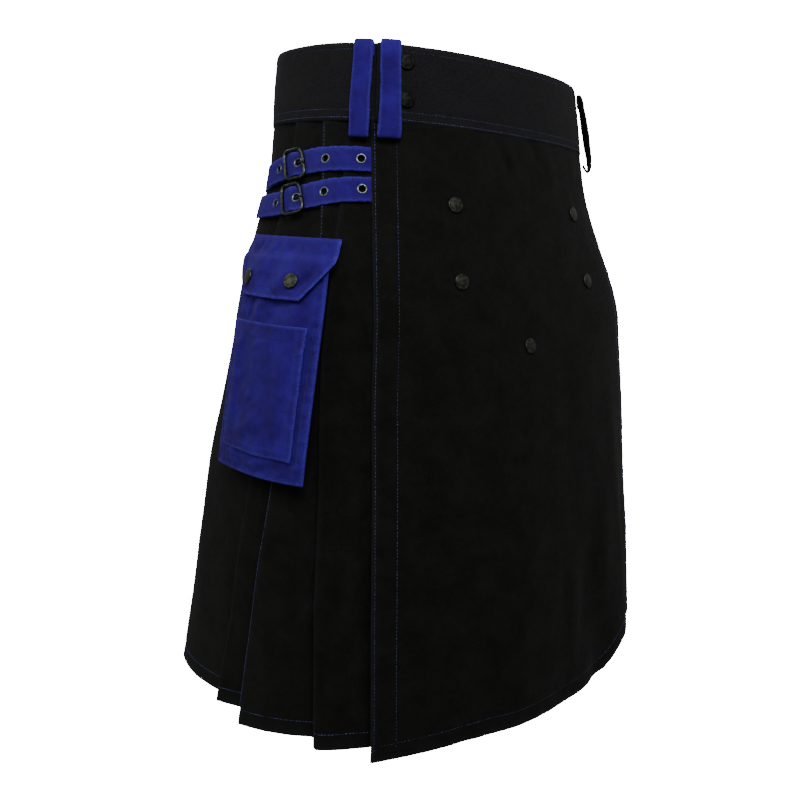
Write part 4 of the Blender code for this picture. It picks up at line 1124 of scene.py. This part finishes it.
# across from the pocket's middle and depth of each end, half width, height, all in mm
BAG_CREASES = (
    (22, 226, 25, 249, 1.6, -2.5), (6, 226, 14, 247, 5, 2.5), (-14, 226, -6, 248, 7, -2.4),
    (-34, 228, -30, 250, 5, 2.0), (38, 226, 36, 246, 5, 2.0), (-50, 300, -50, 372, 3, 2.0),
    (-40, 372, 20, 376, 5, -1.7), (48, 360, 20, 372, 6, 1.9), (50, 262, 51, 330, 3, 1.5),
    (-20, 366, 6, 374, 4, 1.5), (-52, 240, -48, 290, 3, -1.4),
)
PATCH_CREASES = (
    (32, 256, 34, 352, 6, 2.9), (22, 262, 20, 300, 7, -1.7), (-6, 300, 6, 312, 4, -1.9),
    (2, 304, 12, 318, 3, 1.7), (-26, 270, -30, 340, 9, 1.7), (-12, 330, 24, 346, 7, 1.9),
    (10, 345, -30, 352, 5, -1.4), (-38, 256, -36, 300, 4, -1.4), (-16, 262, 12, 270, 4, 1.4),
    (8, 318, -14, 330, 4, -1.4), (16, 286, 30, 300, 4, 1.4),
)
FLAP_CREASES = (
    (-50, 196, -34, 218, 4, -2.4), (-36, 192, -44, 206, 4, 2.4), (-10, 192, 4, 220, 8, -2.5),
    (20, 190, 12, 208, 6, 2.2), (-24, 200, -8, 224, 4, 1.7), (44, 190, 50, 206, 6, -1.9),
    (-54, 180, -40, 188, 4, 1.5), (30, 178, 44, 182, 5, 1.5), (-24, 178, -14, 186, 4, -1.4),
    (4, 177, 10, 187, 4, 1.4), (30, 200, 22, 220, 5, 1.7),
)


def pocket_place(side, across, depth, out):
    return at_distance(side, POCKET_SHARES[side] * girth(depth) + POCKET_HALF + across, depth, out)


def bag_front(across, depth):
    down = (depth - POCKET_TOP) / (POCKET_FOOT - POCKET_TOP)
    crown = np.clip((1 - (across / POCKET_HALF) ** 2) * (1 - (2 * down - 1) ** 4), 0, None)
    return table(POCKET_OUT, depth) * (1 - LEAN * across / POCKET_HALF) + CROWN * crown


def flap_half(depth):
    return table([(row[0], row[1]) for row in FLAP_ROWS], depth)


def flap_out(across, depth):
    row_out = table([(row[0], row[2]) for row in FLAP_ROWS], depth)
    high = row_out / FLAP_ROWS[-1][2]
    crown = 1.6 * MM * (1 - (across / FLAP_HALF) ** 2) * high
    return row_out * (1 - LEAN * across / POCKET_HALF * high) + crown


def bag_surface(side):
    def at(across, depth, lift=0.0):
        edge, foot = POCKET_HALF - np.abs(across), POCKET_FOOT - depth
        pucker = 1.4 * MM * wobble(depth, 120, 0.0125) * near(edge - 5 * MM, 4 * MM)
        pucker = pucker + 1.1 * MM * wobble(across, 121, 0.014) * near(foot - 6 * MM, 5 * MM)
        relief = pucker + dents(BAG_CREASES, across, depth) - 0.3 * MM * near(edge - 3 * MM, 0.9 * MM)
        # the patch's seam pulls a groove into the bag along its front edge and its foot
        beside = np.clip((depth - 0.252) / (8 * MM), 0, 1) * (depth < 0.363)
        relief = relief - 2.4 * MM * near(across + 48.6 * MM, 1.9 * MM) * beside
        inside = np.clip(np.minimum(edge, foot) / (6 * MM), 0, 1)
        return pocket_place(side, across, depth, bag_front(across, depth) + relief * inside + lift)
    return at


def patch_surface(side):
    def at(across, depth, lift=0.0):
        aside, top, foot = PATCH_HALF - np.abs(across), depth - PATCH_TOP, PATCH_FOOT - depth
        edge = np.minimum(aside, foot)
        relief = 0.75 * MM * wobble(depth, 130, 0.013) * near(aside - 3 * MM, 4 * MM)
        relief = relief + 0.90 * MM * wobble(across, 131, 0.014) * near(foot - 4 * MM, 5 * MM)
        relief = relief + 0.35 * MM * wobble(across, 132, 0.017) * near(top - 5 * MM, 5 * MM)
        relief = relief + 0.8 * MM * wobble(across + 0.4 * depth, 133, 0.036) * wobble(depth, 134, 0.031)
        relief = relief + dents(PATCH_CREASES, across, depth) - 0.25 * MM * near(edge - 2.6 * MM, 0.8 * MM)
        relief = np.maximum(relief, -0.45 * MM)
        # its front edge stands up a little
        relief = relief + 2.0 * MM * near(PATCH_HALF + across, 5 * MM) * np.clip(top / (20 * MM), 0, 1)
        return pocket_place(side, across, depth,
                            bag_front(across, depth) + 0.5 * MM + PATCH_WALL + relief + lift)
    return at


def flap_surface(side):
    def at(across, depth, lift=0.0):
        top, foot = depth - FLAP_TOP, FLAP_FOOT - depth
        edge = np.minimum(flap_half(depth) - np.abs(across), foot)
        relief = 1.2 * MM * wobble(across, 140, 0.016) * near(top - 9 * MM, 7 * MM)
        relief = relief + 0.9 * MM * wobble(across + depth, 141, 0.014) * near(edge - 4 * MM, 4 * MM)
        relief = relief + dents(FLAP_CREASES, across, depth) - 0.3 * MM * near(edge - 2.6 * MM, 0.9 * MM)
        relief = relief - 0.5 * MM * near(top - 16.5 * MM, 1.2 * MM)
        return pocket_place(side, across, depth, flap_out(across, depth) + relief + lift)
    return at


def make_bag(side, word, sewn):
    """The bag: a front panel that folds over into its gussets at both sides and its foot."""
    bag = bag_surface(side)
    fold = 1.6 * MM
    bend = [(fold * (1 - math.cos(t)), fold * math.sin(t)) for t in np.linspace(0, math.pi / 2, 5)]
    walls = np.linspace(0.06, 0.85, 7)
    # columns and rows of the sheet: place, how high up the gusset (None on the front panel), drop at the fold
    columns = [(-POCKET_HALF, high, 0.0) for high in walls]
    columns += [(-POCKET_HALF + a, None, fold - b) for a, b in bend[1:]]
    front = [(float(a), None, 0.0) for a in spread(-POCKET_HALF + 3 * MM, POCKET_HALF - 3 * MM, 1.7 * MM)]
    columns = columns + front + [(-a, high, drop) for a, high, drop in reversed(columns)]
    rows = [(float(d), None, 0.0) for d in spread(POCKET_TOP, POCKET_FOOT - 3 * MM, 2.2 * MM)]
    rows += [(POCKET_FOOT - a, None, fold - b) for a, b in reversed(bend[1:])]
    rows += [(POCKET_FOOT, high, 0.0) for high in walls[::-1]]
    across = np.array([[column[0] for column in columns]] * len(rows))
    depth = np.array([[row[0]] * len(columns) for row in rows])
    share_up = np.array([[min(1.0 if c[1] is None else c[1], 1.0 if r[1] is None else r[1]) for c in columns]
                         for r in rows])
    drop = np.array([[max(c[2], r[2]) for c in columns] for r in rows])
    on_wall = share_up < 1
    # the gussets run in beneath the front panel
    tucked = across * (1 - POCKET_TUCK * (1 - share_up) / POCKET_HALF)
    low = pocket_place(side, tucked, depth, 0.7 * MM + share_up * (bag_front(across, depth) - 0.7 * MM))
    surface = np.where(on_wall[..., None], low, bag(across, depth, -drop))
    wide = np.cumsum(np.linalg.norm(np.diff(surface, axis=1, prepend=surface[:, :1]), axis=2), axis=1)
    tall = np.cumsum(np.linalg.norm(np.diff(surface, axis=0, prepend=surface[:1]), axis=2), axis=0)
    edge = np.minimum(POCKET_HALF - np.abs(across), POCKET_FOOT - depth)
    # the front panel is paler along its edges and its inner stitch line: part wear, part painted highlight
    wear_and_highlight_map = np.where(on_wall, 0.0, 0.75 * near(edge - 1.5 * MM, 2.2 * MM)) + 0.25 * near(edge - 9 * MM, 2 * MM)
    make_cloth("pocket_bag_" + word, surface, wide, tall, POCKET_WALL, "blue_drill", wear_and_highlight_map,
               flat=(0.142, 0.197), held="folded", rests_on=[f"pleats_{word}_cloth"])
    for inset in (3 * MM, 9.5 * MM):
        left, right, foot = -POCKET_HALF + inset, POCKET_HALF - inset, POCKET_FOOT - inset
        line = [(left, d) for d in spread(FLAP_FOOT, foot, 8 * MM)]
        line += [(a, foot) for a in spread(left, right, 8 * MM)]
        line += [(right, d) for d in spread(foot, FLAP_FOOT, 8 * MM)]
        sewn.sew(bag, line)


def make_patch(side, word, sewn):
    patch = patch_surface(side)
    across, depth = np.meshgrid(spread(-PATCH_HALF, PATCH_HALF, 1.6 * MM),
                                spread(PATCH_TOP, PATCH_FOOT, 1.6 * MM))
    edge = np.minimum(PATCH_HALF - np.abs(across), PATCH_FOOT - depth)
    # paler along its edges, its top and its inner stitch line: part wear, part painted highlight
    wear_and_highlight_map = (0.8 * near(edge, 2.2 * MM) + 0.55 * near(depth - PATCH_TOP, 1.6 * MM)
           + 0.3 * near(edge - 8 * MM, 2 * MM))
    make_cloth("pocket_patch_" + word, patch(across, depth), across, depth, PATCH_WALL, "blue_drill", wear_and_highlight_map,
               flat=(0.092, 0.112), held="laid", rests_on=[f"pocket_bag_{word}_cloth"])
    top_seams = (0.2515, 0.2610)
    for inset in (2.6 * MM, 8.5 * MM):
        left, right, foot = -PATCH_HALF + inset, PATCH_HALF - inset, PATCH_FOOT - inset
        sewn.sew(patch, [(left, d) for d in spread(top_seams[0], foot, 6 * MM)])
        sewn.sew(patch, [(a, foot) for a in spread(left, right, 6 * MM)])
        sewn.sew(patch, [(right, d) for d in spread(foot, top_seams[0], 6 * MM)])
    for depth in top_seams:
        sewn.sew(patch, [(a, depth) for a in spread(-0.045, 0.045, 6 * MM)])


def make_flap(side, word, sewn):
    flap = flap_surface(side)
    part, depth = np.meshgrid(spread(-1, 1, 0.027), spread(FLAP_TOP, FLAP_FOOT, 1.5 * MM))
    across = part * flap_half(depth)
    edge = np.minimum(flap_half(depth) - np.abs(across), FLAP_FOOT - depth)
    # paler along its edges and its two top seams: part wear, part painted highlight
    wear_and_highlight_map = 0.95 * near(edge, 2.4 * MM) + 0.4 * near(depth - 0.1745, 2 * MM) + 0.3 * near(depth - 0.189, 2 * MM)
    make_cloth("pocket_flap_" + word, flap(across, depth), across, depth, FLAP_WALL, "blue_drill", wear_and_highlight_map,
               flat=(0.125, 0.056), held="laid", rests_on=[f"pocket_bag_{word}_cloth"])
    for inset, start in ((2.6 * MM, 0.176), (8.5 * MM, 0.194)):
        foot = FLAP_FOOT - inset
        depths = spread(start, foot, 3 * MM)
        sewn.sew(flap, [(-float(flap_half(d)) + inset, d) for d in depths])
        half = float(flap_half(foot)) - inset
        sewn.sew(flap, [(a, foot) for a in spread(-half, half, 5 * MM)])
        sewn.sew(flap, [(float(flap_half(d)) - inset, d) for d in depths[::-1]])
    for depth in (0.1755, 0.1895):
        sewn.sew(flap, [(a, depth) for a in spread(-0.060, 0.060, 6 * MM)])


def make_pockets():
    sewn = Seams("stitching_pockets", groove_shaded_blue_thread, "blue_drill")
    for word, side in SIDES:
        make_bag(side, word, sewn)
        make_patch(side, word, sewn)
        make_flap(side, word, sewn)
    sewn.finish()


# Press studs

STUD_RADIUS, STUD_HIGH, STUD_SEAT = 7.2 * MM, 2.2 * MM, 0.45 * MM
# a cap spun from sheet: rolled rim, faint groove, low dome
CAP = ((0.80, -0.10), (0.93, 0.0), (0.99, 0.12), (1.0, 0.30), (0.985, 0.50), (0.94, 0.66), (0.87, 0.74),
       (0.80, 0.745), (0.74, 0.73), (0.68, 0.78), (0.55, 0.87), (0.38, 0.95), (0.18, 0.99), (0.0, 1.0))
APRON_STUDS = (
    ("stud_apron_upper_right", -0.0856, 0.1372), ("stud_apron_upper_left", 0.0766, 0.1351),
    ("stud_apron_lower_right", -0.0868, 0.2046), ("stud_apron_lower_left", 0.0892, 0.2024),
    ("stud_apron_foot", -0.0123, 0.2630),
)
BAND_STUDS = (("stud_band_upper", -0.1206, 0.0167), ("stud_band_lower", -0.1226, 0.0495))
POCKET_STUDS, POCKET_STUD_DEPTH = (("front", -28.5 * MM), ("back", 28.5 * MM)), 0.2105


def make_stud(node, at, u, v, metal=stud_metal):
    profile = [(r * STUD_RADIUS, STUD_SEAT + h * STUD_HIGH) for r, h in CAP]
    points, faces = turned(profile, *seat(at, u, v, STUD_RADIUS * 0.8), segments=48)
    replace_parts(finished(node + "_cap", points, faces, metal), node)


def make_studs():
    for node, distance, depth in APRON_STUDS:
        make_stud(node, apron_at, distance, depth)
    for node, distance, depth in BAND_STUDS:
        # the band's studs take the darker copy of the metal, which is painted shade
        make_stud(node, lambda d, v, lift: front_band_at(d / girth(v), v, lift), distance, depth,
                  shaded_band_stud_metal)
    for word, side in SIDES:
        for end, across in POCKET_STUDS:
            make_stud(f"stud_pocket_{end}_{word}", flap_surface(side), across, POCKET_STUD_DEPTH)


FLOOR_HALF, FLOOR_LOW = 6, -1.05


def make_floor():
    """A white lightbox floor, as bright as the walls, that throws no light of its own on the kilt."""
    mesh = bpy.data.meshes.new("floor")
    corners = [(x * FLOOR_HALF, y * FLOOR_HALF, FLOOR_LOW) for x, y in ((-1, -1), (1, -1), (1, 1), (-1, 1))]
    mesh.from_pydata(corners, [], [(0, 1, 2, 3)])
    made, _, shader = blank("white_lightbox_floor")
    shader.inputs["Base Color"].default_value = linear("ffffff")
    shader.inputs["Emission Color"].default_value = linear("ffffff")
    shader.inputs["Emission Strength"].default_value = BACKDROP
    shader.inputs["Roughness"].default_value = 0.9
    mesh.materials.append(made)
    floor = bpy.data.objects.new("floor", mesh)
    floor.visible_diffuse = floor.visible_glossy = False
    bpy.context.scene.collection.objects.link(floor)


make_band()
make_apron()
make_under_apron()
make_pleats()
make_loops()
make_straps()
make_pockets()
make_studs()
make_floor()
